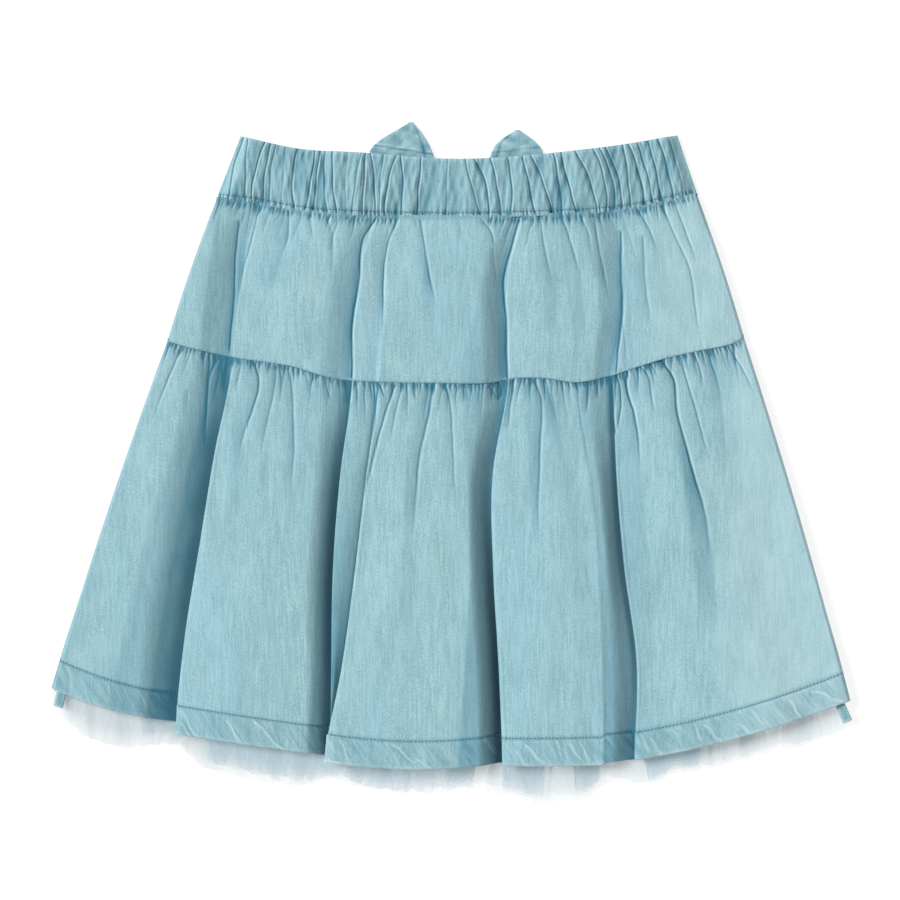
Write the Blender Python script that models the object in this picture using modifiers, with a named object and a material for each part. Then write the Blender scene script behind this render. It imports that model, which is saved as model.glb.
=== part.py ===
"""A girl's tiered skirt of washed chambray over a tulle petticoat, laid flat with its back up.

Metres, +Z up. The width runs along X, the length along Y with the waistband at +Y. The skirt lies
on its front: front panels at the bottom, four tulle layers on them, and the folded back on top.
The tables are in millimetres, and point() turns them to metres.
"""

import math
from collections import namedtuple

import bpy
from mathutils import Vector

MM = 0.001
COLLECTION = "tiered_skirt"

# Walls and clearances, in millimetres
CLOTH_WALL = 1.2
BAND_WALL = 2.2
TULLE_WALL = 1.0
SEAM_GAP = 0.5
LAYER_GAP = 0.3
TULLE_GAP = 0.4

# Heights of the middle of each layer above the surface that the skirt lies on
FRONT_Z = CLOTH_WALL / 2
BAND_FRONT_Z = BAND_WALL / 2
TULLE_STEP = TULLE_WALL + TULLE_GAP
TULLE_Z = CLOTH_WALL + LAYER_GAP + TULLE_WALL / 2
BACK_Z = TULLE_Z + 4 * TULLE_STEP + LAYER_GAP
SIDE_Z = CLOTH_WALL + LAYER_GAP + CLOTH_WALL / 2
BAND_BACK_Z = 7.2

# Edges of the pieces seen from above: x, y
WAIST_TOP = ((-125.1, 195.6), (-89.1, 187.8), (-50.1, 185.2), (-5.1, 181.8), (18.9, 181.8),
             (59.1, 184.8), (102.9, 190.2), (137.7, 196.2))
WAIST_SEAM = ((-139.5, 158.2), (-119.1, 155.9), (-89.1, 150.4), (-53.1, 147.6), (-29.1, 146.9),
              (18.9, 146.8), (66.9, 148.2), (102.9, 150.8), (126.9, 155.2), (149.7, 160.5))
TIER_SEAM = ((-168.9, 73.2), (-156.9, 69.6), (-130.5, 63.6), (-92.7, 57.6), (-70.5, 51.0),
             (-39.3, 48.6), (-6.3, 48.0), (25.5, 48.0), (39.9, 50.7), (58.5, 50.7),
             (75.9, 48.3), (95.1, 51.6), (115.5, 58.2), (131.1, 63.0), (149.7, 67.2),
             (170.7, 71.8), (177.6, 75.6))
TULLE_EDGE = ((-242.1, -144.0), (-223.5, -164.4), (-210.3, -171.0), (-188.7, -174.6),
              (-162.3, -173.6), (-151.5, -184.0), (-133.5, -189.6), (-85.5, -197.4),
              (-70.5, -193.4), (-49.5, -199.2), (-19.5, -201.6), (13.5, -197.4),
              (58.5, -204.6), (84.3, -200.4), (93.1, -193.6), (119.7, -194.4),
              (135.7, -186.4), (148.5, -185.4), (184.5, -176.4), (214.5, -169.8),
              (243.3, -160.8))

# The x of the hem's corners, and how far the sides bow out between their ends
HEM_CORNERS = (-237.9, 240.9)
UPPER_SIDE_BOW = 1.0
LOWER_SIDE_BOW = 2.0

# A fold runs from the waist to the hem. over is 1 where the cloth on its right lies over the
# cloth on its left, and -1 where it lies under. upper and lower are its x at even steps down the
# two tiers. rise is its height at the hem, overlap the cloth that it hides there, fall the width
# over which the lower cloth drops to it, base the height that its foot stands above the lowest
# cloth, and roll how far it rolls over, from 0, a soft step, to 1, a flat knife fold.
Fold = namedtuple("Fold", "name over upper lower rise overlap fall base roll")
FOLDS = (
    Fold("left", 1, (-113.7, -120.9, -124.5, -128.1, -129.9),
         (-129.9, -140.1, -149.1, -158.1, -163.5), 5.8, 12.0, 24.0, 0.0, 1.0),
    Fold("centre_left_low", 1, (-43.5, -52.2, -55.5, -58.2, -58.5),
         (-58.5, -65.1, -69.3, -70.3, -70.8), 4.8, 12.0, 15.0, 0.0, 1.0),
    Fold("centre_left_high", 1, (-33.9, -38.1, -39.6, -41.1, -42.9),
         (-42.9, -49.5, -56.1, -63.9, -74.4), 6.0, 9.0, 9.0, 3.4, 1.0),
    Fold("centre_right", 1, (49.5, 42.0, 40.8, 41.5, 35.1),
         (35.1, 26.1, 26.7, 30.0, 32.1), 7.6, 13.0, 14.0, 0.0, 1.0),
    Fold("box_edge", -1, (66.0, 70.0, 73.0, 75.0, 75.9),
         (75.9, 84.9, 90.3, 92.8, 93.3), 1.2, 0.0, 16.0, 6.7, 0.0),
    Fold("right", 1, (101.7, 104.1, 105.3, 102.9, 98.1),
         (98.1, 99.9, 104.7, 112.2, 111.0), 6.0, 3.0, 16.0, 0.0, 0.55),
)
# Share of a fold's rise at even steps down each tier, from one seam to the next
UPPER_RISE = (0.10, 0.42, 0.55, 0.5, 0.4)
LOWER_RISE = (0.4, 0.86, 1.0, 1.0, 1.0)
UPPER_ROLL = (0.0, 0.25, 0.35, 0.3, 0.0)
LOWER_ROLL = (0.0, 0.85, 1.0, 1.0, 1.0)
# Half the width of a soft step, and the overlap's share in the upper tier and below its seam
STEP_HALF_WIDTH = 2.2
UPPER_OVERLAP = 0.2
LOWER_OVERLAP = 0.45
# A panel stops falling this far before a fold, and falls over no more than this share of its width
FOLD_FOOT = 0.4
LONGEST_FALL = 0.8
FREE_FALL = 60.0
LEFT_PANEL_RISE = 6.4
RIGHT_PANEL_RISE = 3.2
SIDE_ROLL = 5.0
# Near the hem the tulle and the side seam lift the cloth's sides: height, share where it starts,
# share over which it grows
HEM_SIDE_LIFT = 7.4
HEM_LIFT_START = 0.7
HEM_LIFT_LENGTH = 0.2

# Each panel lies between two folds. The gathers are counted at its upper seam, hem_left and
# hem_right are the y of its hem's ends, sag how far the hem bellies below the line between them,
# and crown how far the panel's middle stands up.
Panel = namedtuple("Panel", "upper_gathers lower_gathers hem_left hem_right sag crown")
PANELS = (
    Panel(6, 9, -134.4, -155.4, 4.2, 1.0),
    Panel(15, 17, -162.0, -176.4, 0.6, 1.6),
    Panel(2, 3, -177.0, -178.0, 0.0, 0.0),
    Panel(17, 18, -178.8, -177.6, 4.6, 1.2),
    Panel(4, 10, -181.2, -180.6, 0.2, 1.4),
    Panel(7, 4, -178.8, -177.6, 0.0, 0.0),
    Panel(10, 18, -177.6, -142.2, 3.4, 1.6),
)
COLUMNS_PER_GATHER = 2

# Rows of each piece, as shares of its length
UPPER_ROWS = (0.0, 0.1, 0.24, 0.42, 0.7, 1.0)
LOWER_ROWS = (0.0, 0.05, 0.12, 0.22, 0.38, 0.6, 0.82, 1.0)
UPPER_GATHER = 1.5
UPPER_GATHER_REACH = 0.24
LOWER_GATHER = 1.5
LOWER_GATHER_REACH = 0.13
# The waist seam has almost no gathers between these x
FLAT_WAIST = (-30.0, 22.0)
FLAT_WAIST_SHARE = 0.2

# Soft creases: x at the seam, x and share of the tier's length where it ends, depth, half width
Crease = namedtuple("Crease", "start end reach depth half_width")
UPPER_CREASES = (
    Crease(-97.5, -109.5, 0.5, 1.0, 4.0),
    Crease(-71.7, -76.5, 0.9, 0.9, 4.5),
    Crease(-4.5, 2.1, 0.5, 1.2, 3.5),
    Crease(31.0, 36.0, 0.3, 1.2, 3.0),
    Crease(73.0, 80.0, 0.4, 1.1, 3.0),
    Crease(116.0, 121.0, 0.6, 1.2, 3.0),
    Crease(129.0, 148.0, 0.8, 1.6, 3.5),
)
LOWER_CREASES = (
    Crease(-139.5, -148.0, 0.30, 1.8, 3.5),
    Crease(-158.0, -170.0, 0.30, 1.5, 3.5),
    Crease(-113.7, -131.0, 0.36, 1.6, 3.5),
    Crease(-103.5, -116.0, 0.30, 1.4, 3.5),
    Crease(-93.9, -96.5, 0.42, 1.5, 3.5),
    Crease(-10.5, -23.5, 0.45, 1.6, 4.0),
    Crease(-0.9, 5.0, 0.40, 1.4, 3.5),
    Crease(53.7, 54.0, 0.50, 1.5, 3.5),
    Crease(105.9, 115.0, 0.32, 1.5, 3.5),
    Crease(132.3, 156.5, 0.58, 3.0, 4.5),
    Crease(141.0, 158.0, 0.34, 1.6, 3.5),
    Crease(168.0, 181.0, 0.20, 1.6, 3.0),
)

# Waistband. Each crease of its gathered back has an x at its top, middle and bottom, a depth and
# a half width, which is held to a share of the way to the next. Between two the cloth swells.
BandCrease = namedtuple("BandCrease", "top middle bottom depth half_width")
BAND_CREASES = (
    BandCrease(-123.4, -129.4, -132.1, 0.8, 2.0), BandCrease(-120.8, -122.0, -122.0, 0.8, 1.2),
    BandCrease(-110.3, -116.4, -118.4, 1.4, 1.3), BandCrease(-106.7, -110.4, -111.5, 0.9, 1.2),
    BandCrease(-103.9, -107.1, -107.5, 0.8, 1.2), BandCrease(-98.0, -99.5, -100.5, 0.5, 1.8),
    BandCrease(-90.7, -93.9, -92.4, 1.3, 1.4), BandCrease(-80.2, -82.8, -86.7, 1.1, 1.2),
    BandCrease(-77.3, -79.6, -81.0, 0.9, 1.2), BandCrease(-74.2, -74.7, -72.6, 0.7, 1.4),
    BandCrease(-69.5, -69.5, -66.9, 1.1, 1.3), BandCrease(-60.5, -62.0, -61.5, 0.5, 1.6),
    BandCrease(-52.6, -56.1, -58.0, 0.7, 1.3), BandCrease(-49.8, -50.9, -52.1, 1.4, 1.2),
    BandCrease(-46.6, -44.5, -44.4, 1.1, 1.2), BandCrease(-39.3, -41.2, -41.6, 0.7, 1.2),
    BandCrease(-31.8, -36.9, -38.4, 1.4, 1.3), BandCrease(-28.6, -27.6, -29.2, 1.1, 1.2),
    BandCrease(-16.5, -18.0, -19.0, 1.4, 1.2), BandCrease(-0.9, -1.3, -1.5, 0.6, 1.6),
    BandCrease(9.9, 14.1, 19.5, 0.8, 1.4), BandCrease(15.8, 22.7, 23.7, 1.4, 1.2),
    BandCrease(24.9, 29.1, 31.3, 1.1, 1.2), BandCrease(35.1, 37.7, 36.7, 1.1, 1.2),
    BandCrease(44.1, 48.3, 51.7, 1.3, 1.2), BandCrease(49.5, 57.1, 62.4, 1.4, 1.2),
    BandCrease(62.7, 66.1, 68.1, 1.0, 1.2), BandCrease(67.2, 71.6, 77.1, 1.3, 1.2),
    BandCrease(75.8, 84.7, 88.9, 1.3, 1.3), BandCrease(86.7, 93.3, 94.6, 0.9, 1.3),
    BandCrease(90.4, 98.0, 99.6, 0.9, 1.2), BandCrease(94.0, 101.7, 104.0, 1.1, 1.2),
    BandCrease(104.6, 107.4, 109.2, 1.1, 1.2), BandCrease(107.9, 114.4, 117.6, 1.3, 1.2),
    BandCrease(113.0, 118.9, 122.6, 0.9, 1.2), BandCrease(119.7, 124.4, 128.1, 1.1, 1.2),
    BandCrease(125.7, 131.3, 135.0, 1.2, 1.2), BandCrease(131.6, 137.4, 141.0, 0.7, 1.3),
)
BAND_SWELL = 0.5
BAND_SHOULDER = 0.4
BAND_EDGE = 4.5
BAND_ROWS = (0.0, 0.5, 1.0)
BAND_ROLL = (1.4, 0.0, 0.4)
BAND_SIDE_Z = BAND_WALL * 1.5 + LAYER_GAP
BAND_FRONT_COLUMNS = 24
FRONT_COLUMNS = 32

# The bow lies under the front of the waistband, between it and the surface, and holds it up
BOW_KNOT = (9.3, 166.0)
BOW_KNOT_SIZE = (13.0, 12.0, 3.6)
KNOT_ROUNDING = 1.2
BOW_LIFT = 4.2
BOW_CENTRE_X = 5.0
BOW_FLAT = 66.0
BOW_SPREAD = 110.0
BOW_REACH = 0.42

# Petticoat
TULLE_INSET = 10.0
TULLE_INSET_AT_HEM = 5.5
TULLE_COLUMNS = 24
TULLE_ROWS = (0.0, BOW_REACH / 2, 0.5, 1.0)
TULLE_HEM_ROWS = (0.5, 1.0)
# How far above the hem the tulle's last straight row lies, how far past that row it starts to
# drop, over what length it does, and the share of its width that stays level at each side
TULLE_PAST_HEM = 4.0
TULLE_HELD = 8.0
TULLE_EASE = 14.0
TULLE_SIDE_SHARE = 0.1
TULLE_DROP = 1.2
TULLE_WAVES = 6
TULLE_WAVE = 0.8
Layer = namedtuple("Layer", "name colour level shorter uneven")
LAYERS = (
    Layer("petticoat_front_blue", "tulle_blue", 0, 5.0, 1.5),
    Layer("petticoat_front_white", "tulle_white", 1, 3.0, 1.2),
    Layer("petticoat_back_white", "tulle_white", 2, 0.0, 0.0),
    Layer("petticoat_back_blue", "tulle_blue", 3, 5.0, 1.2),
)

# Serged ends of the side seams, which show just below the hem's corners: x, y at the hidden end,
# x, y at the cut end, width
SEAM_ENDS = (
    ("side_seam_end_left", (-230.4, -131.0), (-234.4, -146.4), 5.0),
    ("side_seam_end_right", (231.4, -137.0), (239.6, -155.4), 5.0),
)
SEAM_END_WALL = 1.4

# A loop's rows run from the knot to its tip: x and y of its outer edge, x and y of its inner edge
LOOPS = {
    "bow_loop_left": ((2.2, 161.0, 2.2, 171.0), (-26.0, 167.0, -4.0, 176.0),
                      (-50.1, 185.6, -7.8, 181.8), (-42.3, 193.8, -11.1, 190.8),
                      (-32.0, 199.8, -15.9, 198.6), (-24.0, 204.3, -21.0, 204.3)),
    "bow_loop_right": ((16.4, 161.0, 16.4, 171.0), (42.0, 166.0, 22.0, 176.0),
                       (59.1, 185.4, 24.3, 183.0), (51.9, 193.8, 27.9, 191.4),
                       (47.1, 197.1, 33.9, 196.2), (43.2, 199.6, 40.2, 199.6)),
}
LOOP_WALL = 1.0
BOW_CLEARANCE = 0.1
LOOP_LAYER_GAP = 1.0
LOOP_TURN = 0.5
LOOP_ACROSS = 4


def smooth(t):
    """Ease from 0 to 1 as t goes from 0 to 1."""
    t = min(max(t, 0.0), 1.0)
    return t * t * (3.0 - 2.0 * t)


def mix(a, b, t):
    return a + (b - a) * t


def at_even_steps(values, t):
    """A smooth curve through values that stand at even steps from t = 0 to t = 1."""
    last = len(values) - 1
    place = min(max(t, 0.0), 1.0) * last
    i = min(int(place), last - 1)
    f = place - i
    before = values[max(i - 1, 0)]
    a = values[i]
    b = values[i + 1]
    after = values[min(i + 2, last)]
    slope_a = (b - before) / 2.0
    slope_b = (after - a) / 2.0
    return (a * (2 * f ** 3 - 3 * f ** 2 + 1) + slope_a * (f ** 3 - 2 * f ** 2 + f)
            + b * (3 * f ** 2 - 2 * f ** 3) + slope_b * (f ** 3 - f ** 2))


def edge_y(edge, x):
    """The y of an edge table at x, on a smooth curve that goes on straight past the ends."""
    xs = [row[0] for row in edge]
    ys = [row[1] for row in edge]
    slopes = [(ys[k + 1] - ys[k]) / (xs[k + 1] - xs[k]) for k in range(len(xs) - 1)]
    if x <= xs[0]:
        return ys[0] + slopes[0] * (x - xs[0])
    if x >= xs[-1]:
        return ys[-1] + slopes[-1] * (x - xs[-1])
    i = max(k for k in range(len(xs) - 1) if xs[k] <= x)
    width = xs[i + 1] - xs[i]
    f = (x - xs[i]) / width
    start = (slopes[max(i - 1, 0)] + slopes[i]) / 2.0
    end = (slopes[i] + slopes[min(i + 1, len(slopes) - 1)]) / 2.0
    return (ys[i] * (2 * f ** 3 - 3 * f ** 2 + 1) + start * width * (f ** 3 - 2 * f ** 2 + f)
            + ys[i + 1] * (3 * f ** 2 - 2 * f ** 3) + end * width * (f ** 3 - f ** 2))


def point(x, y, z, held=0.0):
    """A point of a layer in metres. held is the share of the bow's lift that it takes there."""
    away = abs(x - BOW_CENTRE_X)
    lift = BOW_LIFT * smooth((BOW_SPREAD - away) / (BOW_SPREAD - BOW_FLAT))
    return Vector((x, y, z + lift * held)) * MM


def held_up(v):
    """Share of the bow's lift at v down the upper tier."""
    return max(0.0, 1.0 - v / BOW_REACH)


def side_x(tier, side, v):
    """The x of the skirt's left (-1) or right (1) side, v down a tier."""
    if tier == "upper":
        ends = (WAIST_SEAM[0][0], TIER_SEAM[0][0]) if side < 0 else (
            WAIST_SEAM[-1][0], TIER_SEAM[-1][0])
        bow = UPPER_SIDE_BOW
    else:
        ends = (TIER_SEAM[0][0], HEM_CORNERS[0]) if side < 0 else (
            TIER_SEAM[-1][0], HEM_CORNERS[1])
        bow = LOWER_SIDE_BOW
    return mix(ends[0], ends[1], v) + side * bow * 4.0 * v * (1.0 - v)


def fold_state(fold, tier, v):
    """A fold's x, foot height, rise, overlap and roll, v down a tier."""
    x = at_even_steps(getattr(fold, tier), v)
    share = at_even_steps(UPPER_RISE if tier == "upper" else LOWER_RISE, v)
    roll = at_even_steps(UPPER_ROLL if tier == "upper" else LOWER_ROLL, v)
    overlap = fold.overlap * (mix(LOWER_OVERLAP, 1.0, v) if tier == "lower" else UPPER_OVERLAP)
    return x, BACK_Z + fold.base * share, fold.rise * share, overlap, min(roll, 1.0) * fold.roll


def fold_points(fold, tier, v):
    """Seven points across a fold, from the cloth on its left to the cloth on its right."""
    x, foot, rise, overlap, roll = fold_state(fold, tier, v)
    turn = rise / 4.0
    rolled = ((overlap - turn, 0.0), (overlap, 1.0), (overlap - turn, 2.0),
              (mix(overlap - turn, turn, 0.5), 2.0), (turn, 2.0), (0.0, 3.0), (turn, 4.0))
    points = []
    for k, (dx, level) in enumerate(rolled):
        t = k / 6.0
        open_dx = STEP_HALF_WIDTH * (2.0 * t - 1.0)
        open_z = rise * smooth(t)
        points.append((x + fold.over * mix(open_dx, dx, roll), foot + mix(open_z, level * turn, roll)))
    return points if fold.over > 0 else points[::-1]


def crease_depth(creases, x, v):
    """How far the soft creases sink the cloth at x, v down the tier."""
    depth = 0.0
    for crease in creases:
        if v < crease.reach:
            share = v / crease.reach
            middle = mix(crease.start, crease.end, share)
            across = (x - middle) / crease.half_width
            depth += crease.depth * math.exp(-across * across) * (1.0 - share * share)
    return depth


def uneven(i, low=0.55):
    """A steady, uneven share between low and 1 for the i-th gather."""
    return low + (1.0 - low) * (0.5 + 0.5 * math.sin(2.4 * i + 1.3 * math.sin(1.1 * i)))


def panel_z(x, start, end, crown, fall):
    """Height of a panel at x between its start and end points (x, z), before its creases."""
    width = max(end[0] - start[0], 0.1)
    fall = min(fall, LONGEST_FALL * width)
    share = smooth((end[0] - FOLD_FOOT - x) / fall)
    across = min(max((x - start[0]) / width, 0.0), 1.0)
    return mix(end[1], start[1], share) + crown * math.sin(math.pi * across) * share


def side_height(tier, v):
    """Height of the cloth's side edge."""
    if tier == "upper":
        return SIDE_Z
    return SIDE_Z + HEM_SIDE_LIFT * smooth((v - HEM_LIFT_START) / HEM_LIFT_LENGTH)


def section(tier, v):
    """The back's section across one tier: rows of x, z, the hem's y below, and gather height."""
    creases = UPPER_CREASES if tier == "upper" else LOWER_CREASES
    share = at_even_steps(UPPER_RISE if tier == "upper" else LOWER_RISE, v)
    left = side_x(tier, -1, v)
    right = side_x(tier, 1, v)
    folds = [fold_points(fold, tier, v) for fold in FOLDS]
    rows = []
    gather = 0
    for k, panel in enumerate(PANELS):
        start = folds[k - 1][-1] if k else (left, BACK_Z + LEFT_PANEL_RISE * share)
        end = folds[k][0] if k < len(FOLDS) else (right, BACK_Z + RIGHT_PANEL_RISE * share)
        if k == len(FOLDS):
            fall = FREE_FALL
            edge_x = right
        else:
            fold_x = fold_state(FOLDS[k], tier, v)[0]
            fall = FOLDS[k].fall
            edge_x = min(fold_x, end[0]) if FOLDS[k].over > 0 else end[0]
        gathers = panel.upper_gathers if tier == "upper" else panel.lower_gathers
        columns = gathers * COLUMNS_PER_GATHER
        for i in range(columns + 1):
            p = i / columns
            x = mix(start[0], end[0], p)
            z = panel_z(x, start, (edge_x, end[1]), panel.crown * share, fall)
            z -= crease_depth(creases, x, v)
            z = max(z, min(BACK_Z, start[1], end[1]))
            to_side = smooth(min(x - left, right - x) / SIDE_ROLL)
            z = mix(side_height(tier, v), z, to_side)
            hem = mix(panel.hem_left, panel.hem_right, p) - panel.sag * 4.0 * p * (1.0 - p)
            height = uneven(gather) * to_side if i % COLUMNS_PER_GATHER else 0.0
            gather += i % COLUMNS_PER_GATHER
            rows.append((x, z, hem, height))
        if k < len(FOLDS):
            following = PANELS[k + 1].hem_left
            for j, (x, z) in enumerate(folds[k][1:-1], 1):
                rows.append((x, z, mix(panel.hem_right, following, j / 6.0), 0.0))
    return rows


def tier_rows(tier):
    """Rows of points of the back of one tier, from its upper seam to its lower edge."""
    upper = tier == "upper"
    rows = []
    tops = None
    for v in UPPER_ROWS if upper else LOWER_ROWS:
        columns = section(tier, v)
        if tops is None:
            tops = [c[0] for c in columns]
            ends = [c[0] for c in section(tier, 1.0)]
        reach = UPPER_GATHER_REACH if upper else LOWER_GATHER_REACH
        gather = (UPPER_GATHER if upper else LOWER_GATHER) * (1.0 - smooth(v / reach))
        row = []
        for top, end, (x, z, hem, height) in zip(tops, ends, columns):
            if upper:
                y_top = edge_y(WAIST_SEAM, top)
                y_end = edge_y(TIER_SEAM, end) + SEAM_GAP / 2
                if FLAT_WAIST[0] < top < FLAT_WAIST[1]:
                    height *= FLAT_WAIST_SHARE
            else:
                y_top = edge_y(TIER_SEAM, top)
                y_end = hem
            held = held_up(v) if upper else 0.0
            row.append(point(x, mix(y_top - SEAM_GAP / 2, y_end, v), z + gather * height, held))
        rows.append(row)
    return rows


def hem_at(x):
    """The y of the back's hem below x, as it shows from above."""
    edges = [side_x("lower", -1, 1.0)] + [fold.lower[-1] for fold in FOLDS]
    edges.append(side_x("lower", 1, 1.0))
    k = max(i for i in range(len(PANELS)) if edges[i] <= x or i == 0)
    p = min(max((x - edges[k]) / (edges[k + 1] - edges[k]), 0.0), 1.0)
    panel = PANELS[k]
    return mix(panel.hem_left, panel.hem_right, p) - panel.sag * 4.0 * p * (1.0 - p)


def material(name, colour, roughness, alpha=1.0):
    made = bpy.data.materials.get(name)
    if made is None:
        made = bpy.data.materials.new(name)
        made.use_nodes = True
        shader = made.node_tree.nodes["Principled BSDF"]
        shader.inputs["Base Color"].default_value = (*colour, 1.0)
        shader.inputs["Roughness"].default_value = roughness
        shader.inputs["Metallic"].default_value = 0.0
        shader.inputs["Alpha"].default_value = alpha
    return made


def cloth_material(name):
    if name == "tulle_white":
        return material(name, (0.80, 0.84, 0.87), 0.8, 0.6)
    if name == "tulle_blue":
        return material(name, (0.45, 0.60, 0.70), 0.8, 0.6)
    return material("chambray", (0.31, 0.51, 0.59), 0.85)


def add_object(name, mesh, finish):
    made = bpy.data.objects.new(name, mesh)
    bpy.data.collections[COLLECTION].objects.link(made)
    mesh.materials.append(cloth_material(finish))
    return made


def add_wall(name, rows, wall, finish="chambray"):
    """A wall of cloth: a loft through rows of points, thickened evenly to both sides."""
    count = len(rows[0])
    faces = []
    for j in range(len(rows) - 1):
        for i in range(count - 1):
            a = j * count + i
            faces.append((a, a + count, a + count + 1, a + 1))
    mesh = bpy.data.meshes.new(name)
    mesh.from_pydata([p for row in rows for p in row], [], faces)
    mesh.shade_smooth()
    made = add_object(name, mesh, finish)
    thicken = made.modifiers.new("wall", "SOLIDIFY")
    thicken.thickness = wall * MM
    thicken.offset = 0.0
    thicken.use_even_offset = True
    thicken.use_rim = True
    return made


def add_back_tiers():
    add_wall("upper_tier_back", tier_rows("upper"), CLOTH_WALL)
    add_wall("lower_tier_back", tier_rows("lower"), CLOTH_WALL)


def add_front_tiers():
    """The two front panels, flat on the surface."""
    for tier, top_edge, shares in (("upper", WAIST_SEAM, (0.0, BOW_REACH, 1.0)),
                                   ("lower", TIER_SEAM, (0.0, 0.5, 1.0))):
        rows = []
        for v in shares:
            row = []
            for i in range(FRONT_COLUMNS + 1):
                p = i / FRONT_COLUMNS
                x_top = mix(side_x(tier, -1, 0.0), side_x(tier, 1, 0.0), p)
                x_end = mix(side_x(tier, -1, 1.0), side_x(tier, 1, 1.0), p)
                y_top = edge_y(top_edge, x_top) - SEAM_GAP / 2
                y_end = edge_y(TIER_SEAM, x_end) + SEAM_GAP / 2 if tier == "upper" else hem_at(x_end)
                x = mix(side_x(tier, -1, v), side_x(tier, 1, v), p)
                held = held_up(v) if tier == "upper" else 0.0
                row.append(point(x, mix(y_top, y_end, v), FRONT_Z, held))
            rows.append(row)
        add_wall(f"{tier}_tier_front", rows, CLOTH_WALL)


def band_point(x, v, z):
    """A point of the waistband at x, v down it."""
    ends = band_ends(v)
    p = (x - ends[0]) / (ends[1] - ends[0])
    x_top = mix(WAIST_TOP[0][0], WAIST_TOP[-1][0], p)
    x_end = mix(WAIST_SEAM[0][0], WAIST_SEAM[-1][0], p)
    y_top = edge_y(WAIST_TOP, x_top)
    y_end = edge_y(WAIST_SEAM, x_end) + SEAM_GAP / 2
    return point(x, mix(y_top, y_end, v), z, 1.0)


def band_ends(v):
    """The x of the waistband's two sides, v down it."""
    return (mix(WAIST_TOP[0][0], WAIST_SEAM[0][0], v), mix(WAIST_TOP[-1][0], WAIST_SEAM[-1][0], v))


def band_section(v):
    """x and height across the waistband's back: four columns for each crease."""
    left, right = band_ends(v)
    middles = [crease.top * (1.0 - v) * (1.0 - 2.0 * v) + crease.middle * 4.0 * v * (1.0 - v)
               + crease.bottom * v * (2.0 * v - 1.0) for crease in BAND_CREASES]
    bounds = [left] + middles + [right]
    rows = [(left, 0.0)]
    for k, crease in enumerate(BAND_CREASES, 1):
        before = bounds[k] - bounds[k - 1]
        after = bounds[k + 1] - bounds[k]
        rows.append((bounds[k] - min(crease.half_width, BAND_SHOULDER * before), 0.0))
        rows.append((bounds[k], -crease.depth))
        rows.append((bounds[k] + min(crease.half_width, BAND_SHOULDER * after), 0.0))
        rows.append((bounds[k] + after / 2.0, BAND_SWELL * uneven(k)))
    rows.append((right, 0.0))
    return rows


def add_waistbands():
    """The elastic casing: the gathered back, and the front, which lies flat over the bow."""
    rows = []
    for v, roll in zip(BAND_ROWS, BAND_ROLL):
        left, right = band_ends(v)
        row = []
        for x, height in band_section(v):
            to_side = smooth(min(x - left, right - x) / BAND_EDGE)
            row.append(band_point(x, v, mix(BAND_SIDE_Z, BAND_BACK_Z - roll + height, to_side)))
        rows.append(row)
    add_wall("waistband_back", rows, BAND_WALL)
    rows = []
    for v in BAND_ROWS:
        left, right = band_ends(v)
        shares = [i / BAND_FRONT_COLUMNS for i in range(BAND_FRONT_COLUMNS + 1)]
        rows.append([band_point(mix(left, right, p), v, BAND_FRONT_Z) for p in shares])
    add_wall("waistband_front", rows, BAND_WALL)


def tulle_row(layer, shares, v):
    """One row of a tulle layer, v down the skirt from the waist seam to the hem."""
    row = []
    for p in shares:
        tier, t = ("upper", v * 2.0) if v < 0.5 else ("lower", v * 2.0 - 1.0)
        inset = mix(TULLE_INSET, TULLE_INSET_AT_HEM, smooth((v - 0.5) * 2.0))
        left = side_x(tier, -1, t) + inset
        right = side_x(tier, 1, t) - inset
        x = mix(left, right, p)
        x_waist = mix(side_x("upper", -1, 0.0) + TULLE_INSET, side_x("upper", 1, 0.0) - TULLE_INSET, p)
        x_tier = mix(side_x("lower", -1, 0.0) + inset, side_x("lower", 1, 0.0) - inset, p)
        top = edge_y(WAIST_SEAM, x_waist) - SEAM_GAP - LAYER_GAP
        middle = edge_y(TIER_SEAM, x_tier)
        end = hem_at(x) + TULLE_PAST_HEM
        y = mix(top, middle, t) if tier == "upper" else mix(middle, end, t)
        held = held_up(t) if tier == "upper" else 0.0
        row.append(point(x, y, TULLE_Z + layer.level * TULLE_STEP, held))
    return row


def tulle_shift(p, past):
    """How far the tulle rises or drops at p across the skirt, past the hem by so much."""
    wave = TULLE_WAVE * (0.5 + 0.5 * math.sin(TULLE_WAVES * math.tau * p))
    wave *= smooth(min(p, 1.0 - p) / TULLE_SIDE_SHARE)
    return (wave - TULLE_DROP) * smooth((past - TULLE_HELD) / TULLE_EASE)


def add_petticoat():
    """Four layers of tulle from the waist seam to just below the hem, where their edges show."""
    shares = [i / TULLE_COLUMNS for i in range(TULLE_COLUMNS + 1)]
    for layer in LAYERS:
        rows = [tulle_row(layer, shares, v) for v in TULLE_ROWS]
        hem = rows[-1]
        level = TULLE_Z + layer.level * TULLE_STEP
        for reach in TULLE_HEM_ROWS:
            row = []
            for i, p in enumerate(shares):
                x_end = mix(TULLE_EDGE[0][0], TULLE_EDGE[-1][0], p)
                y_end = edge_y(TULLE_EDGE, x_end) + layer.shorter
                y_end += layer.uneven * math.sin(2.9 * i + layer.level)
                x = mix(hem[i].x / MM, x_end, reach)
                y = mix(hem[i].y / MM, y_end, reach)
                row.append(point(x, y, level + tulle_shift(p, hem[i].y / MM - y)))
            rows.append(row)
        add_wall(layer.name, rows, TULLE_WALL, layer.colour)


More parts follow.
